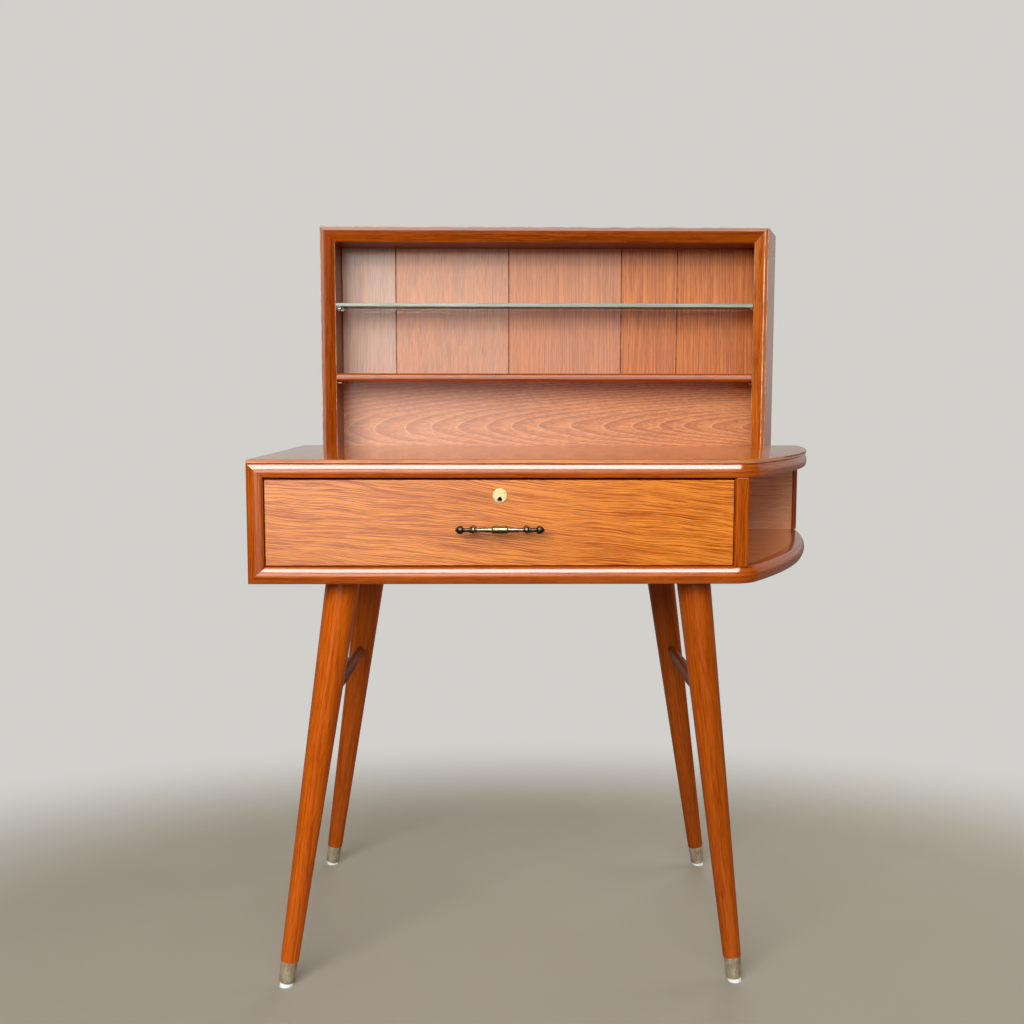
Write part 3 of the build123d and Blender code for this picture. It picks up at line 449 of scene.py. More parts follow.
def glass_edge():
    """Polished edge of the glass, where the light comes from deep inside it."""
    return clouded("Glass edge", ((14.0, 14.0, 320.0), 3.0, 0.6), (0.30, 0.36, 0.30),
                   (0.46, 0.52, 0.44), (0.08, 0.2), IOR=1.5, Transmission_Weight=0.25, Coat_Weight=0.5)


def shelf_glass():
    """Clear glass of the shelf, its faces faintly dusty."""
    f = Finish("Shelf glass")
    dust = f.noise(f.place(), 60.0, 4.0, 0.7)
    colour = f.mix(f.spread(dust, 0.4, 0.8, 0.0, 0.1), (0.93, 0.98, 0.955), (0.8, 0.84, 0.82))
    return f.set(Base_Color=colour, Roughness=0.02, IOR=1.5, Transmission_Weight=1.0)


def pale_timber(name, middle, grain="X"):
    """Plain sawn secondary timber, oiled but not varnished."""
    return teak(name, middle, grain, light=(0.66, 0.43, 0.24), dark=(0.47, 0.28, 0.14),
                vein=(0.24, 0.13, 0.06), dashes=0.3, coat=0.05, gloss=0.4)


# --- Modelling helpers ------------------------------------------------------------------
MERGE = 1e-6                # distance within which points are one
SHORTEST_ARRIS = 1.5 * MM   # shorter edges are those round small holes
QUARTER_STEPS = 6


def require(*nodes):
    """Stop when the frame lacks a piece that an operator works from."""
    missing = [node for node in nodes if node not in frame["nodes"]]
    if missing:
        raise RuntimeError("Missing from the frame: " + ", ".join(missing))


def sizes():
    """The sizes set in the panel."""
    return bpy.context.scene.desk_sizes


def deselect():
    bpy.ops.object.select_all(action="DESELECT")


def take(piece):
    """Make one object the only selected and active one."""
    deselect()
    piece.select_set(True)
    bpy.context.view_layer.objects.active = piece


def open_mesh(piece):
    """Enter edit mode with the whole of one piece selected."""
    take(piece)
    bpy.ops.object.mode_set(mode="EDIT")
    bpy.ops.mesh.select_all(action="SELECT")


def close_mesh():
    bpy.ops.object.mode_set(mode="OBJECT")


def pull_out(step):
    """Extrude what is selected by a step."""
    bpy.ops.mesh.extrude_region_move(TRANSFORM_OT_translate={"value": step})


def cut(piece, point, normal):
    """Cut away what lies on the normal's side of a plane and close the cut."""
    open_mesh(piece)
    bpy.ops.mesh.bisect(plane_co=point, plane_no=normal, use_fill=True, clear_outer=True,
                        threshold=MERGE)
    close_mesh()


def outward(piece):
    """Merge doubles and turn every face outward."""
    open_mesh(piece)
    bpy.ops.mesh.remove_doubles(threshold=MERGE)
    bpy.ops.mesh.normals_make_consistent(inside=False)
    close_mesh()


def settle(piece, matrix):
    """Move a piece by a matrix, all in its mesh."""
    take(piece)
    piece.matrix_world = matrix @ piece.matrix_world
    bpy.ops.object.transform_apply(location=True, rotation=True, scale=True)


def smooth(piece, angle=32.0):
    """Shade a piece smooth but for edges sharper than an angle."""
    take(piece)
    bpy.ops.object.shade_smooth_by_angle(angle=radians(angle))


def mark_arrises(mesh, angle, shortest):
    """Weigh the sharp edges of a mesh, but not its mitres, its foot or its short edges."""
    foot = min(vertex.co.z for vertex in mesh.vertices) + 0.1 * MM
    sides = {}
    for polygon in mesh.polygons:
        for key in polygon.edge_keys:
            sides.setdefault(key, []).append(polygon.normal)
    weights = mesh.attributes.new("bevel_weight_edge", "FLOAT", "EDGE")
    for edge, item in zip(mesh.edges, weights.data):
        first, second = (mesh.vertices[index].co for index in edge.vertices)
        normals = sides[edge.key]
        sharp = len(normals) == 2 and normals[0].angle(normals[1], 0.0) > angle
        mitred = any(0.5 < abs(normal.z) < 0.9 for normal in normals)
        standing = max(first.z, second.z) < foot
        long = (first - second).length > shortest
        item.value = float(sharp and long and not mitred and not standing)


def apply_bevel(piece, width, segments, angle, material, shortest):
    """Round a piece's long sharp edges and keep its faces flat."""
    take(piece)
    mark_arrises(piece.data, radians(angle), shortest)
    bevel = piece.modifiers.new("Round", "BEVEL")
    bevel.width = width
    bevel.segments = segments
    bevel.limit_method = "WEIGHT"
    bevel.use_clamp_overlap = False
    bevel.harden_normals = True
    bevel.material = material
    bpy.ops.object.modifier_apply(modifier=bevel.name)


def finish_piece(piece, name, materials, body, slot, *replaced):
    """Name a piece, give it its finishes and fix it to its body in place of CAD nodes."""
    piece.name = piece.data.name = name
    indices = [polygon.material_index for polygon in piece.data.polygons]
    piece.data.materials.clear()
    for material in materials if isinstance(materials, tuple) else (materials,):
        piece.data.materials.append(material)
    piece.data.polygons.foreach_set("material_index", indices)
    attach(piece, body)
    if replaced:
        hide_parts(*replaced)
    return piece


def paint(node, material):
    """Give a CAD node its finish."""
    frame["nodes"][node].material_slots[0].material = material


def turned_blank(profile, sides=64):
    """A solid turned about Z: a disc drawn out through (distance, radius) steps."""
    deselect()
    start, radius = profile[0]
    bpy.ops.mesh.primitive_circle_add(vertices=sides, radius=radius, fill_type="NGON")
    piece = bpy.context.object
    open_mesh(piece)
    bpy.ops.transform.translate(value=(0, 0, start))
    for (near, inner), (far, outer) in zip(profile, profile[1:]):
        pull_out((0, 0, far - near))
        share = outer / inner
        bpy.ops.transform.resize(value=(share, share, 1), center_override=(0, 0, far))
    close_mesh()
    outward(piece)
    return piece


def stand(piece, foot, direction):
    """Put a piece turned about Z on a foot point, its axis along a direction."""
    turn = Vector(direction).to_track_quat("Z", "Y").to_matrix().to_4x4()
    settle(piece, Matrix.Translation(foot) @ turn)
    return piece


def arc_steps(start, stop, radius, bulge, count):
    """Profile points of a shallow swell from one distance to another."""
    points = []
    for step in range(1, count + 1):
        share = step / count
        points.append((start + (stop - start) * share, radius + bulge * 4 * share * (1 - share)))
    return points


def quarter(first, second, sideways=True):
    """Profile points of a quarter ellipse that sets out along the radius, or else along the axis."""
    (start, inner), (stop, outer) = first, second
    points = []
    for step in range(1, QUARTER_STEPS + 1):
        angle = pi / 2 * step / QUARTER_STEPS
        along, across = 1 - cos(angle), sin(angle)
        if not sideways:
            along, across = across, along
        points.append((start + (stop - start) * along, inner + (outer - inner) * across))
    return points


def eased_copy(node, width, materials, slot, body="desk", segments=2, angle=30.0,
               shortest=SHORTEST_ARRIS):
    """A merged copy of a CAD solid with its arrises eased; a second finish goes to the arrises."""
    take(frame["nodes"][node])
    bpy.ops.object.duplicate()
    piece = bpy.context.object
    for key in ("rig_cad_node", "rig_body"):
        del piece[key]
    piece.parent = None
    open_mesh(piece)
    bpy.ops.mesh.customdata_custom_splitnormals_clear()
    bpy.ops.mesh.remove_doubles(threshold=10 * MERGE)
    bpy.ops.mesh.dissolve_limited(angle_limit=radians(0.5))
    close_mesh()
    smooth(piece, 28.0)
    piece.data.materials.append(None)
    apply_bevel(piece, width, segments, angle, 1 if isinstance(materials, tuple) else 0, shortest)
    return finish_piece(piece, node + "_eased", materials, body, slot, node)


def leg_axis(name):
    """Foot and top points of a leg's axis."""
    foot, top = LEG_INSETS[name]
    places = []
    for (in_x, in_y), height in ((foot, 0.0), (top, UNDERSIDE)):
        x = LEFT + in_x if name.endswith("left") else RIGHT - in_x
        y = FRONT + in_y if name.startswith("front") else BACK - in_y
        places.append(Vector((x, y, height)))
    return places


def leg_radius(name, distance):
    """Radius of a leg at a distance up its axis."""
    size = sizes()
    foot, top = leg_axis(name)
    share = (distance - FERRULE_TOP) / ((top - foot).length - FERRULE_TOP)
    return size.leg_ankle + (size.leg_top - size.leg_ankle) * share


# --- Edge mouldings -----------------------------------------------------------------------
MOULDING_DEPTH = 20 * MM
CROWN, CROWN_STEPS = 0.4 * MM, 5
SHOULDER_WIDTH = 8 * MM     # band on the outer side that turns away from the face
SHOULDER_TURNS, SHOULDER_STEPS = (14.0, 31.0), 7
LIP_WIDTH, LIP_DEPTH = 0.4 * MM, 0.7 * MM
FRONT_STEPS, CORNER_STEPS, SWEEP_STEPS = 6, 16, 30
CORNER_GRAIN_HEIGHT = 0.68  # height round which the corner moulding's grain is centred
# Rounding on the drawer's side, as turns from the face and millimetres across.
CHEEK = ((80, 0.2), (55, 0.6), (36, 0.9), (20, 1.1), (9, 1.3))
LOW_CHEEK = ((80, 0.2), (60, 0.5), (42, 0.6), (33, 2.1), (27, 2.3), (20, 2.2), (9, 1.5))


def section_points(height, cheek):
    """Moulding section as (depth, height) points: a rounded cheek, a crowned face and a shoulder."""
    points = [(sum(tan(radians(turn)) * across * MM for turn, across in cheek), 0.0)]
    for turn, across in cheek:
        depth, rise = points[-1]
        points.append((depth - tan(radians(turn)) * across * MM, rise + across * MM))
    start, rise = height - SHOULDER_WIDTH, points[-1][1]
    for step in range(1, CROWN_STEPS + 1):
        share = step / CROWN_STEPS
        points.append((CROWN * (2 * share - 1) ** 2 - CROWN, rise + (start - rise) * share))
    depth = points[-1][0]
    first, last = SHOULDER_TURNS
    band = SHOULDER_WIDTH - LIP_WIDTH
    for step in range(1, SHOULDER_STEPS + 1):
        turn = first + (last - first) * (step - 0.5) / SHOULDER_STEPS
        depth += tan(radians(turn)) * band / SHOULDER_STEPS
        points.append((depth, start + band * step / SHOULDER_STEPS))
    points.append((depth + LIP_DEPTH, height))
    near = min(depth for depth, _ in points)
    back = [(MOULDING_DEPTH, height), (MOULDING_DEPTH, 0.0)]
    return [(depth - near, rise) for depth, rise in points] + back


def section_face(height, place, cheek=CHEEK):
    """The moulding's section as one face, each point put where a function says."""
    points = section_points(height, cheek)
    deselect()
    bpy.ops.mesh.primitive_circle_add(vertices=len(points), radius=1.0, fill_type="NGON")
    piece = bpy.context.object
    for vertex, (depth, rise) in zip(piece.data.vertices, points):
        vertex.co = place(depth, rise)
    return piece


def along_edge(point):
    """Depth behind the moulding's face and distance along the curved front edge."""
    straight = CORNER_CENTRE.x - LEFT
    flat = Vector(point[:2])
    if flat.x <= CORNER_CENTRE.x:
        return flat.y - FRONT, flat.x - LEFT
    arm = flat - CORNER_CENTRE
    turn = atan2(arm.x, -arm.y)
    if turn <= CORNER_TURN:
        return CORNER_RADIUS - arm.length, straight + CORNER_RADIUS * turn
    arm = flat - SWEEP_CENTRE
    turn = atan2(arm.x, -arm.y)
    bend = straight + CORNER_RADIUS * CORNER_TURN
    return SWEEP_RADIUS - arm.length, bend + SWEEP_RADIUS * (turn - CORNER_TURN)


def map_grain(piece, measure):
    """Store each point's place along and across the grain for the finish to read."""
    places = piece.data.attributes.new("grain_place", "FLOAT_VECTOR", "POINT")
    for vertex, item in zip(piece.data.vertices, places.data):
        item.vector = measure(vertex.co)


def edge_moulding(name, low, high, node, material):
    """A moulding drawn along the front, round the corner and along the curved end."""
    top = node == "top_edge_moulding"

    def place(depth, rise):
        return LEFT, FRONT + depth, low + rise if top else high - rise

    piece = section_face(high - low, place, CHEEK if top else LOW_CHEEK)
    open_mesh(piece)
    for _ in range(FRONT_STEPS):
        pull_out(((CORNER_CENTRE.x - LEFT) / FRONT_STEPS, 0, 0))
    for steps, turn, centre in ((CORNER_STEPS, CORNER_TURN, CORNER_CENTRE),
                                (SWEEP_STEPS, SWEEP_TURN, SWEEP_CENTRE)):
        bpy.ops.mesh.spin(steps=steps, angle=-turn, center=(*centre, low), axis=(0, 0, 1))
    close_mesh()
    outward(piece)
    width, height = SIDE_HIGH.x - LEFT, high - low
    cut(piece, (LEFT, 0, high if top else low), (-height, 0, -width if top else width))
    cut(piece, (0, BACK, 0), (0, 1, 0))
    outward(piece)
    middle = (low + high) / 2

    def measure(point):
        depth, distance = along_edge(point)
        return depth, point.z - middle, distance

    map_grain(piece, measure)
    smooth(piece)
    return finish_piece(piece, name, material, "desk", "teak", node)


def corner_moulding(name, material):
    """The upright moulding at the front left corner, mitred to the other two."""
    width = SIDE_HIGH.x - LEFT
    low, high = BASE_LOW.z, TOP_HIGH.z
    piece = section_face(width, lambda depth, rise: (LEFT + width - rise, FRONT + depth, low))
    open_mesh(piece)
    pull_out((0, 0, high - low))
    close_mesh()
    outward(piece)
    cut(piece, (LEFT, 0, high), (high - TOP_LOW.z, 0, width))
    cut(piece, (LEFT, 0, low), (BASE_HIGH.z - low, 0, -width))
    outward(piece)
    smooth(piece)
    return finish_piece(piece, name, material, "desk", "teak", "left_front_moulding")


# --- Boards -----------------------------------------------------------------------------------
BOARDS = {
    "top_sheet": {"grain": "X", "pith": (0.03, 0.06), "dashes": 0.3, "gloss": 0.08},
    "top_board": {"grain": "X"},
    "left_side_panel": {"grain": "Y", "pith": (0.02, 0.05), "shade": "frame"},
    # Lighter colours than the timber's: painted light on the floor of the shaded bay.
    "bottom_board": {"grain": "X", "pith": (-0.03, 0.05),
                     "light": (0.86, 0.30, 0.08), "dark": (0.52, 0.14, 0.03)},
    "divider_panel": {"grain": "Z", "shade": "frame"},
    "divider_lipping": {"grain": "Z", "pith": (0.02, 0.03), "streaks": 0.7, "shade": "frame",
                        "coat": 0.4},
    # Much lighter colours and a little pale haze: painted light and a painted reflection in the shaded
    # bay; its rear face goes back to the timber's own colours.
    "bay_back_panel": {"grain": "X", "tilt": -0.02, "waver": 0.012, "painted_haze": (0.05, 0.05),
                       "light": (0.95, 0.50, 0.26), "dark": (0.80, 0.33, 0.15)},
    "bay_end_post": {"grain": "Z", "shade": "frame"},
    # Painted shade: the hutch's left side and top board take the darker hutch tone, being turned from
    # the light; the right side's own lighter colours below are painted light on the side that faces it.
    "hutch_left_side": {"grain": "Z", "pith": (0.03, 0.03), "shade": "hutch", "coat": 0.4},
    "hutch_right_side": {"grain": "Z", "pith": (-0.04, 0.03), "streaks": 0.7,
                         "light": (0.50, 0.125, 0.010), "dark": (0.27, 0.050, 0.003)},
    "hutch_top_board": {"grain": "X", "pith": (0.04, 0.02), "shade": "hutch", "coat": 0.4},
    # The back boards' pale haze is a painted reflection, thickest on the left board and thinner on each
    # board to the right.
    "hutch_back_board_1": {"grain": "Z", "tilt": 0.015, "grey": 0.65, "dashes": 0.8, "streaks": 0.8,
                           "relief": 0.8, "painted_haze": (0.33, 0.33)},
    "hutch_back_board_2": {"grain": "Z", "lean": 0.03, "pith": (0.01, 0.04), "grey": 0.25,
                           "streaks": 0.45, "painted_haze": (0.23, 0.23)},
    "hutch_back_board_3": {"grain": "Z", "pith": (0.05, 0.03), "ring": 0.003, "grey": 0.12,
                           "streaks": 0.45, "painted_haze": (0.17, 0.17)},
    "hutch_back_board_4": {"grain": "Z", "pith": (-0.03, 0.04), "streaks": 0.55, "painted_haze": (0.09, 0.09)},
    "hutch_back_board_5": {"grain": "Z", "tilt": -0.01, "streaks": 0.6, "light": (0.64, 0.19, 0.025),
                           "painted_haze": (0.07, 0.07)},
    # Its pale haze, a painted reflection, is thicker at the left end.
    "hutch_lower_back": {"grain": "X", "lean": 0.075, "pith": (0.025, -0.05), "ring": 0.0038,
                         "figure": 0.6, "flame": 0.5, "streaks": 0.35, "grey": 0.12,
                         "painted_haze": (0.27, 0.10),
                         "light": (0.80, 0.30, 0.07), "dark": (0.46, 0.11, 0.015)},
    "wood_shelf": {"grain": "X", "pith": (0.02, 0.02), "shade": "frame"},
    # Its pale haze, a painted reflection, fades from the left end to nothing at the right.
    "drawer_front": {"grain": "X", "tilt": 0.10, "pith": (0.10, 0.03), "ring": 0.0026, "figure": 0.2,
                     "waver": 0.018, "streaks": 0.8, "painted_haze": (0.10, 0.0),
                     "light": (0.74, 0.235, 0.028), "dark": (0.38, 0.068, 0.003)},
    "case_back_panel": {"grain": "X", "coat": 0.15},
}
# Boards of plain secondary timber, with the way their grain runs.
PALE_BOARDS = {
    "drawer_left_side": "Y", "drawer_right_side": "Y", "drawer_back": "X", "drawer_bottom": "X",
    "drawer_runners": "Y", "drawer_kickers": "Y",
}
# Boards whose edges are eased, with the size that sets how wide.
EASED = {
    **dict.fromkeys(("top_sheet", "divider_panel", "divider_lipping", "bay_end_post", "hutch_left_side",
                     "hutch_right_side", "hutch_top_board"), "arris"),
    **dict.fromkeys(("bay_back_panel", *(f"hutch_back_board_{number}" for number in range(1, 6))),
                    "board_arris"),
    "drawer_front": "front_arris",
    "wood_shelf": "shelf_arris",
}
# Faces with a finish of their own: where they look, None for any level way, and what differs. The
# forward faces of the hutch and shelf and the top sheet's edges get their own amount of pale haze, a
# painted reflection; the bay back's rear face drops the bay's painted light.
FORWARD, BACKWARD = (0, -1, 0), (0, 1, 0)
PAINTED_LIGHT_FACES = {
    "hutch_left_side": (FORWARD, {"painted_haze": (0.13, 0.13)}),
    "hutch_right_side": (FORWARD, {"painted_haze": (0.02, 0.02)}),
    "hutch_top_board": (FORWARD, {"painted_haze": (0.28, 0.28)}),
    "wood_shelf": (FORWARD, {"painted_haze": (0.18, 0.18)}),
    "top_sheet": (None, {"painted_haze": (0.14, 0.14)}),
    "bay_back_panel": (BACKWARD, {"light": None, "dark": None, "painted_haze": (0.0, 0.0), "coat": 0.3}),
}


def face_finish(piece, way, material):
    """Give the flat faces that look one way a finish of their own, with more or less painted light."""
    piece.data.materials.append(material)
    for polygon in piece.data.polygons:
        facing = polygon.normal.dot(Vector(way)) > 0.97 if way else abs(polygon.normal.z) < 0.1
        if facing and polygon.material_index == 0:
            polygon.material_index = 2


def through(grain, low, high):
    """Shares of the grain's waver across a board: little of it runs through the thickness."""
    thinnest = min(range(3), key=lambda axis: high[axis] - low[axis])
    return (0.1, 1.0) if thinnest == (2 if grain == "X" else 0) else (1.0, 0.1)


def body_of(node):
    return frame["nodes"][node]["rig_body"]


# --- Legs -----------------------------------------------------------------------------------
LEG_STEPS, STRETCHER_STEPS = 24, 32
FERRULE_EDGE = 2.2 * MM
GLIDE_GAP = 1.1 * MM
GLIDE_NECK = 0.6            # share of the glide's radius
STRETCHER_START = 15 * MM   # from the leg's axis, inside the leg
FINE_SIDES = 48             # sides of a slender turning


def axis_point(name, height):
    foot, top = leg_axis(name)
    return foot.lerp(top, height / UNDERSIDE)


def tapered_leg(name, material):
    """A turned leg, cut level where it meets the case."""
    size = sizes()
    foot, top = leg_axis(name)
    reach = (top - foot).length + size.leg_top
    profile = [(FERRULE_TOP, size.leg_ankle - 0.5 * MM), (FERRULE_TOP + 0.5 * MM, size.leg_ankle)]
    for step in range(1, LEG_STEPS + 1):
        along = FERRULE_TOP + (reach - FERRULE_TOP) * step / LEG_STEPS
        profile.append((along, leg_radius(name, along)))
    leg = stand(turned_blank(profile), foot, top - foot)
    cut(leg, (0, 0, UNDERSIDE), (0, 0, 1))
    outward(leg)
    smooth(leg)
    return finish_piece(leg, f"{name}_tapered_leg", material, "desk", "teak", f"{name}_leg")


def ferrule(name, material):
    """A brass cup with a rounded lower rim and a thin lip at its top."""
    size = sizes()
    foot, top = leg_axis(name)
    profile = [(FERRULE_BASE, size.ferrule_base - FERRULE_EDGE)]
    profile += quarter(profile[0], (FERRULE_BASE + FERRULE_EDGE, size.ferrule_base))
    profile += [(FERRULE_TOP - 0.5 * MM, size.ferrule_top), (FERRULE_TOP, size.ferrule_top - 0.4 * MM)]
    cup = stand(turned_blank(profile), foot, top - foot)
    smooth(cup, 40.0)
    return finish_piece(cup, f"{name}_brass_ferrule", material, "desk", "ferrule_brass",
                        f"{name}_ferrule")


def glide(name, material):
    """A nylon button with a rounded edge on a narrow neck."""
    size = sizes()
    foot, top = leg_axis(name)
    rim = FERRULE_BASE - GLIDE_GAP
    profile = [(-3 * MM, size.glide), (rim - 1.2 * MM, size.glide)]
    profile += quarter(profile[-1], (rim, size.glide - 1.4 * MM), sideways=False)
    neck = GLIDE_NECK * size.glide
    profile += [(rim + 0.1 * MM, neck), (FERRULE_BASE + 1 * MM, neck)]
    button = stand(turned_blank(profile), foot, top - foot)
    cut(button, (0, 0, 0), (0, 0, -1))
    outward(button)
    smooth(button, 40.0)
    return finish_piece(button, f"{name}_nylon_glide", material, "desk", "glide_nylon", f"{name}_glide")


def stretcher(side, material):
    """A turned spindle, thickest at its middle."""
    size = sizes()
    ends = [axis_point(f"{end}_{side}", STRETCHER_HEIGHT) for end in ("front", "back")]
    run = ends[1] - ends[0]
    start, stop = STRETCHER_START, run.length - STRETCHER_START
    profile = [(start, size.tenon)]
    profile += arc_steps(start, stop, size.tenon, size.stretcher - size.tenon, STRETCHER_STEPS)
    spindle = stand(turned_blank(profile, FINE_SIDES), ends[0], run)
    smooth(spindle)
    return finish_piece(spindle, f"{side}_spindle", material, "desk", "teak", f"{side}_stretcher")


# --- Pull and lock ----------------------------------------------------------------------------
# One half of the bar in millimetres: distance from its middle, and radius.
BAR_HALF = (
    (6.6, 5.3), (7.1, 5.3), (7.3, 4.9), (7.6, 4.9), (7.8, 5.7), (8.3, 5.8), (9.4, 5.8), (9.9, 5.5),
    (10.1, 4.6), (10.5, 4.1), (11.2, 3.9), (15.0, 3.75), (24.0, 3.2), (30.8, 2.65), (31.2, 2.8),
    (31.4, 3.9), (31.7, 4.2), (32.3, 4.2), (32.6, 3.9), (32.8, 3.2), (33.3, 3.0), (33.7, 3.3),
    (33.9, 4.1), (34.3, 4.6), (35.2, 4.95), (36.5, 5.1), (37.8, 4.95), (38.6, 4.5), (38.9, 3.9),
    (39.2, 3.5), (39.5, 4.0), (39.8, 4.25), (40.6, 4.25), (40.9, 3.9), (41.1, 3.2), (41.8, 3.0),
    (44.0, 2.75), (46.5, 2.75), (48.5, 3.0), (49.8, 3.4), (50.3, 3.9), (50.7, 4.7), (51.4, 5.2),
    (52.6, 5.55), (54.0, 5.65), (55.4, 5.4), (56.8, 4.8), (58.0, 4.0), (59.0, 3.1), (59.8, 2.2),
    (60.4, 1.2), (60.75, 0.15),
)
# A post in millimetres, from its rose on the drawer outward: distance and radius.
POST = ((0.0, 3.8), (0.7, 3.8), (1.2, 3.7), (1.8, 3.5), (2.4, 3.3), (3.0, 3.15), (3.6, 3.05),
        (5.0, 3.0), (13.0, 3.0), (15.5, 3.4), (17.0, 4.0))


def pull_bar(material):
    """The turned bar of the pull, modelled as one profile from end to end."""
    steps = [(-along, radius) for along, radius in reversed(BAR_HALF)] + list(BAR_HALF)
    profile = [(along * MM, radius * MM) for along, radius in steps]
    bar = stand(turned_blank(profile, FINE_SIDES), BAR_AXIS, (1, 0, 0))
    smooth(bar, 50.0)
    return finish_piece(bar, "turned_pull_bar", material, "drawer", "pull_bronze", "pull_bar")


def pull_posts(material):
    """Two posts, each on a small round rose."""
    reach = (DRAWER_FACE - BAR_AXIS.y) / MM
    profile = [(along * MM, radius * MM) for along, radius in (*POST, (reach, POST[-1][1]))]
    pieces = []
    for side in (-1, 1):
        foot = (MIDDLE_X + side * sizes().post_spacing / 2, DRAWER_FACE, BAR_AXIS.z)
        post = stand(turned_blank(profile, FINE_SIDES), foot, FORWARD)
        smooth(post, 40.0)
        pieces.append(post)
    first, second = pieces
    take(first)
    second.select_set(True)
    bpy.ops.object.join()
    return finish_piece(first, "pull_posts_with_roses", material, "drawer", "pull_bronze", "pull_posts")


# The disc for a radius of ten: distance in millimetres from the drawer's face, or from the
# disc's own face, and radius.
DISC_BACK = ((-11.0, 6.9), (-0.2, 6.9), (-0.1, 9.9), (0.2, 10.0))
DISC_RIM = ((-0.6, 10.0), (-0.25, 9.85), (-0.08, 9.5), (-0.03, 9.0), (0.0, 7.0))
DISC_SIDES = 96
KEYHOLE_DEPTH, KEYHOLE_EASE = 20 * MM, 0.6 * MM
# Half of the keyhole in millimetres from the disc's centre, from its point down to its foot.
KEYHOLE_HALF = ((0.0, -1.0), (2.1, -2.7), (3.3, -5.2), (3.0, -8.3))


def lock_disc(material, dark):
    """The face of the lock: a flat brass disc with a soft rim and a keyhole lined with painted shade.
    """
    centre = Vector((MIDDLE_X, DRAWER_FACE, (LOCK_LOW.z + LOCK_HIGH.z) / 2))
    face = (DRAWER_FACE - LOCK_LOW.y) / MM
    swell = sizes().disc / DISC_RIM[0][1]
    steps = DISC_BACK + tuple((face + along, radius) for along, radius in DISC_RIM)
    profile = [(along * MM, radius * swell) for along, radius in steps]
    disc = stand(turned_blank(profile, DISC_SIDES), centre, FORWARD)
    deselect()
    outline = KEYHOLE_HALF + tuple((-x, z) for x, z in reversed(KEYHOLE_HALF[1:]))
    bpy.ops.mesh.primitive_cylinder_add(vertices=len(outline), radius=1.0, depth=KEYHOLE_DEPTH)
    hole = bpy.context.object
    hole.data.materials.append(dark)
    for vertex in hole.data.vertices:
        x, z = outline[vertex.index // 2]
        vertex.co = (x * MM, vertex.co.z, z * MM)
    outward(hole)
    bevel = hole.modifiers.new("Round", "BEVEL")
    bevel.width, bevel.segments, bevel.limit_method = KEYHOLE_EASE, 3, "ANGLE"
    bevel.angle_limit = radians(20.0)
    bpy.ops.object.modifier_apply(modifier=bevel.name)
    settle(hole, Matrix.Translation(centre))
    take(disc)
    disc.data.materials.append(material)
    carve = disc.modifiers.new("Keyhole", "BOOLEAN")
    carve.operation, carve.object, carve.solver = "DIFFERENCE", hole, "EXACT"
    carve.material_mode = "TRANSFER"
    bpy.ops.object.modifier_apply(modifier=carve.name)
    bpy.data.objects.remove(hole)
    smooth(disc, 40.0)
    return finish_piece(disc, "lock_disc_with_keyhole", (material, dark), "drawer", "lock_brass",
                        "lock_barrel")


# --- Stage ---------------------------------------------------------------------------------
FILL, DOORWAY, WINDOW = 0.33, 3.2, 9.5      # strengths of the surround's light and reflections
FLOOR_SIZE = 60.0
# Place, target, width, height and power in watts of each softbox.
SOFTBOXES = {
    "Key softbox": ((-1.1, -2.9, 1.8), (0.0, -0.2, 0.75), 2.4, 1.2, 100.0),
    "Top softbox": ((-0.3, -2.6, 2.7), (0.0, 0.0, 0.7), 3.0, 1.6, 40.0),
    "Right softbox": ((2.4, 0.9, 1.1), (0.3, 0.1, 0.9), 1.6, 1.6, 30.0),
    "Back softbox": ((0.8, 2.8, 1.9), (0.0, 0.2, 0.7), 2.4, 1.4, 45.0),
}
CAMERA_PLACE = (-0.0980, -1.7986, 0.8466)
CAMERA_PAN, CAMERA_DROP, CAMERA_ROLL = -0.0138, 0.09926, 0.0012     # radians
CAMERA_LENS, CAMERA_SENSOR = 40.43, 36.0


def backdrop_world(colour):
    """A pale surround for the camera, a soft fill, and shapes of a room for reflections."""
    world = bpy.data.worlds.new("Studio")
    bpy.context.scene.world = world
    world.use_nodes = True
    world.node_tree.nodes.clear()
    w = Nodes(world.node_tree)
    x, y, z = w.parts(w.add("ShaderNodeTexCoord").outputs["Generated"])
    front = w.spread(y, -0.5, -0.3, 1.0, 0.0)
    across = w.times(w.spread(x, -0.46, -0.24), w.spread(x, -0.18, 0.34, 1.0, 0.03))
    upward = w.times(w.spread(z, -0.30, 0.16), w.spread(z, 0.20, 0.34, 1.0, 0.0))
    door = w.times(w.times(across, upward), w.times(front, DOORWAY))
    height = w.times(w.spread(z, 0.36, 0.46), w.spread(z, 0.72, 0.86, 1.0, 0.0))
    width = w.times(w.spread(x, -0.60, -0.45), w.spread(x, 0.40, 0.55, 1.0, 0.0))
    pane = w.times(w.times(height, width), w.spread(y, -0.35, -0.2, WINDOW, 0.0))
    wall = w.times(w.spread(y, 0.2, 0.75, 0.06, 0.82), w.spread(z, -0.12, 0.04, 0.35, 1.0))
    wall = w.times(wall, w.spread(x, -0.05, 0.35, 1.0, 0.75))
    shine = w.plus(wall, w.plus(door, pane))
    path = w.add("ShaderNodeLightPath")
    seen = w.calc("MAXIMUM", path.outputs["Is Camera Ray"], path.outputs["Is Transmission Ray"])
    layers = []
    for strength in (FILL, shine, 1.0):
        layer = w.add("ShaderNodeBackground")
        layer.inputs["Color"].default_value = (*colour, 1)
        w.feed(layer.inputs["Strength"], strength)
        layers.append(layer.outputs[0])
    light = w.blend(path.outputs["Is Glossy Ray"], layers[0], layers[1])
    w.link(w.blend(seen, light, layers[2]), w.add("ShaderNodeOutputWorld").inputs[0])


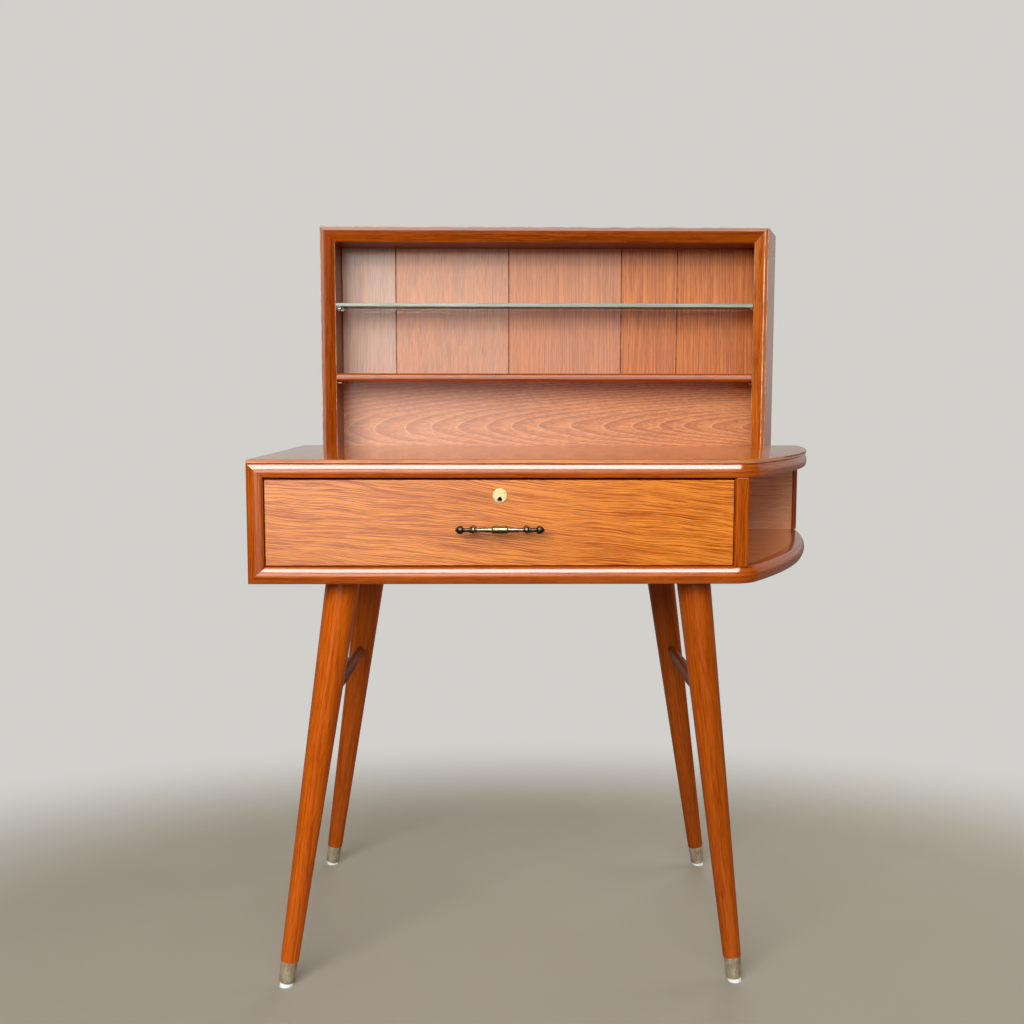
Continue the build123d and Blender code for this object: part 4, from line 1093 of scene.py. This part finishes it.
def floor_finish(colour, far):
    """Smooth matt floor, dim in reflections, that fades out into the surround."""
    f = Finish("Studio floor")
    p = f.place()
    cloud = f.noise(p, 3.0, 4.0, 0.6)
    shade, reflected = (tuple(share * part for part in colour) for share in (0.97, 0.12))
    path = f.add("ShaderNodeLightPath")
    tint = f.mix(path.outputs["Is Glossy Ray"], f.mix(cloud, colour, shade), reflected)
    f.set(Base_Color=tint, Roughness=f.spread(cloud, 0.3, 0.7, 0.5, 0.6))
    glow = f.add("ShaderNodeEmission")
    glow.inputs["Color"].default_value = (*far, 1)
    clear = f.add("ShaderNodeBsdfTransparent").outputs[0]
    beyond = f.blend(path.outputs["Is Camera Ray"], clear, glow.outputs[0])
    oval = f.vector("MULTIPLY", f.vector("ADD", p, (0.0, 0.05, 0.0)), (0.6, 1.0, 1.0))
    reach = f.vector("LENGTH", oval)
    surface = f.blend(f.spread(reach, 0.50, 1.05), f.shader.outputs[0], beyond)
    f.link(surface, f.tree.nodes["Material Output"].inputs["Surface"])
    return f.material


def softbox(name, place, target, width, height, power):
    """A soft rectangular lamp that neither the camera nor a reflection shows."""
    deselect()
    bpy.ops.object.light_add(type="AREA", location=place)
    lamp = bpy.context.object
    lamp.name = name
    lamp.data.shape = "RECTANGLE"
    lamp.data.size, lamp.data.size_y = width, height
    lamp.data.energy = power
    lamp.visible_camera = lamp.visible_glossy = False
    lamp.rotation_euler = (Vector(target) - Vector(place)).to_track_quat("-Z", "Y").to_euler()


# --- Panel values ---------------------------------------------------------------------------
def length(name, description, millimetres):
    """A length for the panel."""
    return bpy.props.FloatProperty(name=name, description=description, default=millimetres * MM,
                                   min=0.1 * MM, unit="LENGTH", precision=4)


def colour(name, description, value):
    """A colour for the panel."""
    return bpy.props.FloatVectorProperty(name=name, description=description, subtype="COLOR", size=3,
                                         min=0, max=1, default=value)


class DeskSizes(bpy.types.PropertyGroup):
    """Sizes of the turned pieces and of the eased edges."""
    arris: length("Arris", "Width of the eased edges of case and hutch", 0.8)
    front_arris: length("Drawer front arris", "Width of the eased edges of the drawer front", 1.3)
    board_arris: length("Board arris", "Width of the eased edges of the hutch's back boards", 0.4)
    shelf_arris: length("Shelf arris", "Width of the rounded edges of the wood shelf", 1.5)
    glass_arris: length("Glass arris", "Width of the ground edges of the glass shelf", 0.5)
    pin_arris: length("Pin arris", "Width of the rounded ends of the shelf pins", 0.6)
    leg_top: length("Leg top", "Radius of the legs under the case", 24.3)
    leg_ankle: length("Leg ankle", "Radius of the legs over the ferrules", 13.0)
    ferrule_top: length("Ferrule top", "Radius of the ferrules at the top", 12.3)
    ferrule_base: length("Ferrule base", "Radius of the ferrules at the foot", 11.3)
    glide: length("Glide", "Radius of the glides", 9.6)
    stretcher: length("Stretcher", "Radius of the stretchers at the middle", 10.5)
    tenon: length("Tenon", "Radius of the stretchers at the ends", 5.0)
    post_spacing: length("Post spacing", "Distance between the posts of the pull", 73.0)
    disc: length("Lock disc", "Radius of the lock's disc", 10.0)


class DeskColours(bpy.types.PropertyGroup):
    """Colours of the timbers, the metals and the studio."""
    timber_light: colour("Timber, light", "Light wood of most boards", (0.64, 0.185, 0.018))
    timber_dark: colour("Timber, dark", "Dark wood of most boards", (0.37, 0.075, 0.005))
    frame_light: colour("Frame, light", "Light wood of mouldings, hutch and legs", (0.44, 0.085, 0.003))
    frame_dark: colour("Frame, dark", "Dark wood of mouldings, hutch and legs", (0.24, 0.036, 0.001))
    brass: colour("Brass", "Colour of the lock's disc", (0.98, 0.83, 0.44))
    bronze: colour("Bronze", "Rubbed colour of the pull", (0.52, 0.44, 0.31))
    wall: colour("Surround", "Colour of the surround behind the desk", (0.64, 0.63, 0.60))
    floor: colour("Floor", "Colour of the floor under the desk", (0.325, 0.288, 0.225))


class DESK_OT_stage(bpy.types.Operator):
    """Lay the floor, light the studio and set up the camera"""
    bl_idname = "desk.stage"
    bl_label = "Stage"

    def execute(self, context):
        colours = context.scene.desk_colours
        wall = tuple(colours.wall)
        backdrop_world(wall)
        deselect()
        bpy.ops.mesh.primitive_plane_add(size=FLOOR_SIZE)
        floor = context.object
        floor.name = "Studio floor"
        floor.data.materials.append(floor_finish(tuple(colours.floor), wall))
        for name, settings in SOFTBOXES.items():
            softbox(name, *settings)
        bpy.ops.object.camera_add(location=CAMERA_PLACE)
        camera = context.object
        camera.rotation_mode = "QUATERNION"
        aim = Matrix.Rotation(CAMERA_PAN, 4, "Z") @ Matrix.Rotation(pi / 2 - CAMERA_DROP, 4, "X")
        camera.rotation_quaternion = (aim @ Matrix.Rotation(CAMERA_ROLL, 4, "Z")).to_quaternion()
        camera.data.lens = CAMERA_LENS
        camera.data.sensor_width = CAMERA_SENSOR
        context.scene.camera = camera
        context.scene.view_settings.view_transform = "Standard"
        return {"FINISHED"}


class DESK_OT_mouldings(bpy.types.Operator):
    """Model the rounded mouldings round the case"""
    bl_idname = "desk.mouldings"
    bl_label = "Mouldings"

    def execute(self, context):
        require("top_edge_moulding", "bottom_edge_moulding", "left_front_moulding")
        for name, low, high, node in (
                ("top_moulding", TOP_LOW.z, TOP_HIGH.z, "top_edge_moulding"),
                ("bottom_moulding", BASE_LOW.z, BASE_HIGH.z, "bottom_edge_moulding")):
            # The top and bottom mouldings take a lighter copy of the frame's colours than the upright
            # one: painted light.
            wood = teak(name + "_teak", (0, 0, 0), "Z", attribute="grain_place", pith=(0.05, 0.02),
                        shade="moulding", thick=2.15)
            edge_moulding(name, low, high, node, wood)
        wood = teak("corner_moulding_teak", (LEFT, FRONT, CORNER_GRAIN_HEIGHT), "Z", shade="frame",
                    thick=1.8)
        corner_moulding("corner_moulding", wood)
        return {"FINISHED"}


class DESK_OT_boards(bpy.types.Operator):
    """Finish the boards of the case, the hutch and the drawer"""
    bl_idname = "desk.boards"
    bl_label = "Boards"

    def execute(self, context):
        require(*BOARDS, *PALE_BOARDS)
        seam = dark_arris("Seam", (0.20, 0.06, 0.02), (0.44, 0.17, 0.08))
        edges = {"top_sheet": dark_arris(),
                 # The drawer front's edges are near white: a painted highlight where its top edge
                 # catches the light.
                 "drawer_front": worn_and_highlit_arris("Bright arris", (0.72, 0.44, 0.26), (0.95, 0.80, 0.66)),
                 **{node: seam for node in EASED if node.startswith("hutch_back")}}
        # The eased edges' lighter colour is partly wear and partly a painted highlight.
        worn = worn_and_highlit_arris()
        for node, settings in BOARDS.items():
            low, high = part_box(node)
            middle = (low + high) / 2
            settings = {**settings, "swing": through(settings["grain"], low, high)}
            wood = teak(f"{node}_wood", middle, **settings)
            if node not in EASED:
                paint(node, wood)
                continue
            finishes = (wood, edges.get(node, worn))
            piece = eased_copy(node, getattr(sizes(), EASED[node]), finishes, "teak", body_of(node),
                               angle=20.0)
            if node in PAINTED_LIGHT_FACES:
                way, changes = PAINTED_LIGHT_FACES[node]
                face_finish(piece, way, teak(f"{node}_face_wood", middle, **{**settings, **changes}))
        for node, grain in PALE_BOARDS.items():
            low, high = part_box(node)
            paint(node, pale_timber(f"{node}_wood", (low + high) / 2, grain))
        return {"FINISHED"}


class DESK_OT_legs(bpy.types.Operator):
    """Model the legs with their ferrules, glides and stretchers"""
    bl_idname = "desk.legs"
    bl_label = "Legs"

    def execute(self, context):
        require(*(f"{name}_{part}" for name in LEG_INSETS for part in ("leg", "ferrule", "glide")),
                "left_stretcher", "right_stretcher")
        brass, nylon = aged_brass(), white_nylon()
        for name in LEG_INSETS:
            foot, top = leg_axis(name)
            turn = (top - foot).to_track_quat("Z", "Y").to_euler()
            # Each leg takes its own strength of the frame's colours: painted light and shade by where
            # it stands to the light.
            tapered_leg(name, teak(f"{name}_leg_wood", foot, turn=turn, pith=(0.05, 0.03), shade=name,
                                   streaks=0.3, dashes=0.25, coat=0.55, gloss=0.2))
            ferrule(name, brass)
            glide(name, nylon)
        for side in ("left", "right"):
            end = axis_point(f"front_{side}", STRETCHER_HEIGHT)
            # The stretchers take a much darker copy of the frame's colours: painted shade under the
            # case.
            stretcher(side, teak(f"{side}_stretcher_wood", end, "Y", shade="stretcher", coat=0.12,
                                 gloss=0.3))
        return {"FINISHED"}


class DESK_OT_pull(bpy.types.Operator):
    """Model the bar pull and the face of the lock"""
    bl_idname = "desk.pull"
    bl_label = "Pull and lock"

    def execute(self, context):
        require("pull_bar", "pull_posts", "lock_barrel")
        bronze = old_bronze()
        pull_bar(bronze)
        pull_posts(bronze)
        lock_disc(lock_brass(), keyhole_shade())
        return {"FINISHED"}


class DESK_OT_shelves(bpy.types.Operator):
    """Finish the glass shelf and the pins"""
    bl_idname = "desk.shelves"
    bl_label = "Shelves"

    def execute(self, context):
        require("glass_shelf", "glass_shelf_pins", "wood_shelf_pins")
        finishes = (shelf_glass(), glass_edge())
        glass = eased_copy("glass_shelf", sizes().glass_arris, finishes, "shelf_glass")
        for polygon in glass.data.polygons:
            polygon.material_index = int(abs(polygon.normal.z) < 0.9)
        pin_nickel = nickel()
        for node in ("wood_shelf_pins", "glass_shelf_pins"):
            eased_copy(node, sizes().pin_arris, pin_nickel, "steel", segments=3, shortest=0.0)
        return {"FINISHED"}


STEEL_NODES = ("leg_bolts", "leg_nuts", "hutch_screws", "pull_screws", "lock_screws", "lock_case",
               "lock_bolt")


class DESK_OT_fixings(bpy.types.Operator):
    """Finish the hidden metal parts"""
    bl_idname = "desk.fixings"
    bl_label = "Fixings"

    def execute(self, context):
        require(*STEEL_NODES, "lock_strike")
        steel = plain_steel()
        for node in STEEL_NODES:
            paint(node, steel)
        paint("lock_strike", lock_brass())
        return {"FINISHED"}


OPERATORS = (DESK_OT_stage, DESK_OT_boards, DESK_OT_mouldings, DESK_OT_legs, DESK_OT_pull,
             DESK_OT_shelves, DESK_OT_fixings)


class DESK_PT_pieces(bpy.types.Panel):
    """Sizes, colours and pieces of the desk"""
    bl_idname = "DESK_PT_pieces"
    bl_label = "Teak writing desk"
    bl_space_type = "VIEW_3D"
    bl_region_type = "UI"
    bl_category = "Desk"

    def draw(self, context):
        for group in (context.scene.desk_sizes, context.scene.desk_colours):
            box = self.layout.box()
            for key in group.__annotations__:
                box.prop(group, key)
        for item in OPERATORS:
            self.layout.operator(item.bl_idname)


CLASSES = (DeskSizes, DeskColours, *OPERATORS, DESK_PT_pieces)


def register():
    for item in CLASSES:
        bpy.utils.register_class(item)
    bpy.types.Scene.desk_sizes = bpy.props.PointerProperty(type=DeskSizes)
    bpy.types.Scene.desk_colours = bpy.props.PointerProperty(type=DeskColours)


def unregister():
    del bpy.types.Scene.desk_colours, bpy.types.Scene.desk_sizes
    for item in reversed(CLASSES):
        bpy.utils.unregister_class(item)


def main():
    register()
    bpy.ops.desk.stage()
    bpy.ops.desk.boards()
    bpy.ops.desk.mouldings()
    bpy.ops.desk.legs()
    bpy.ops.desk.pull()
    bpy.ops.desk.shelves()
    bpy.ops.desk.fixings()


if __name__ == "__main__":
    main()
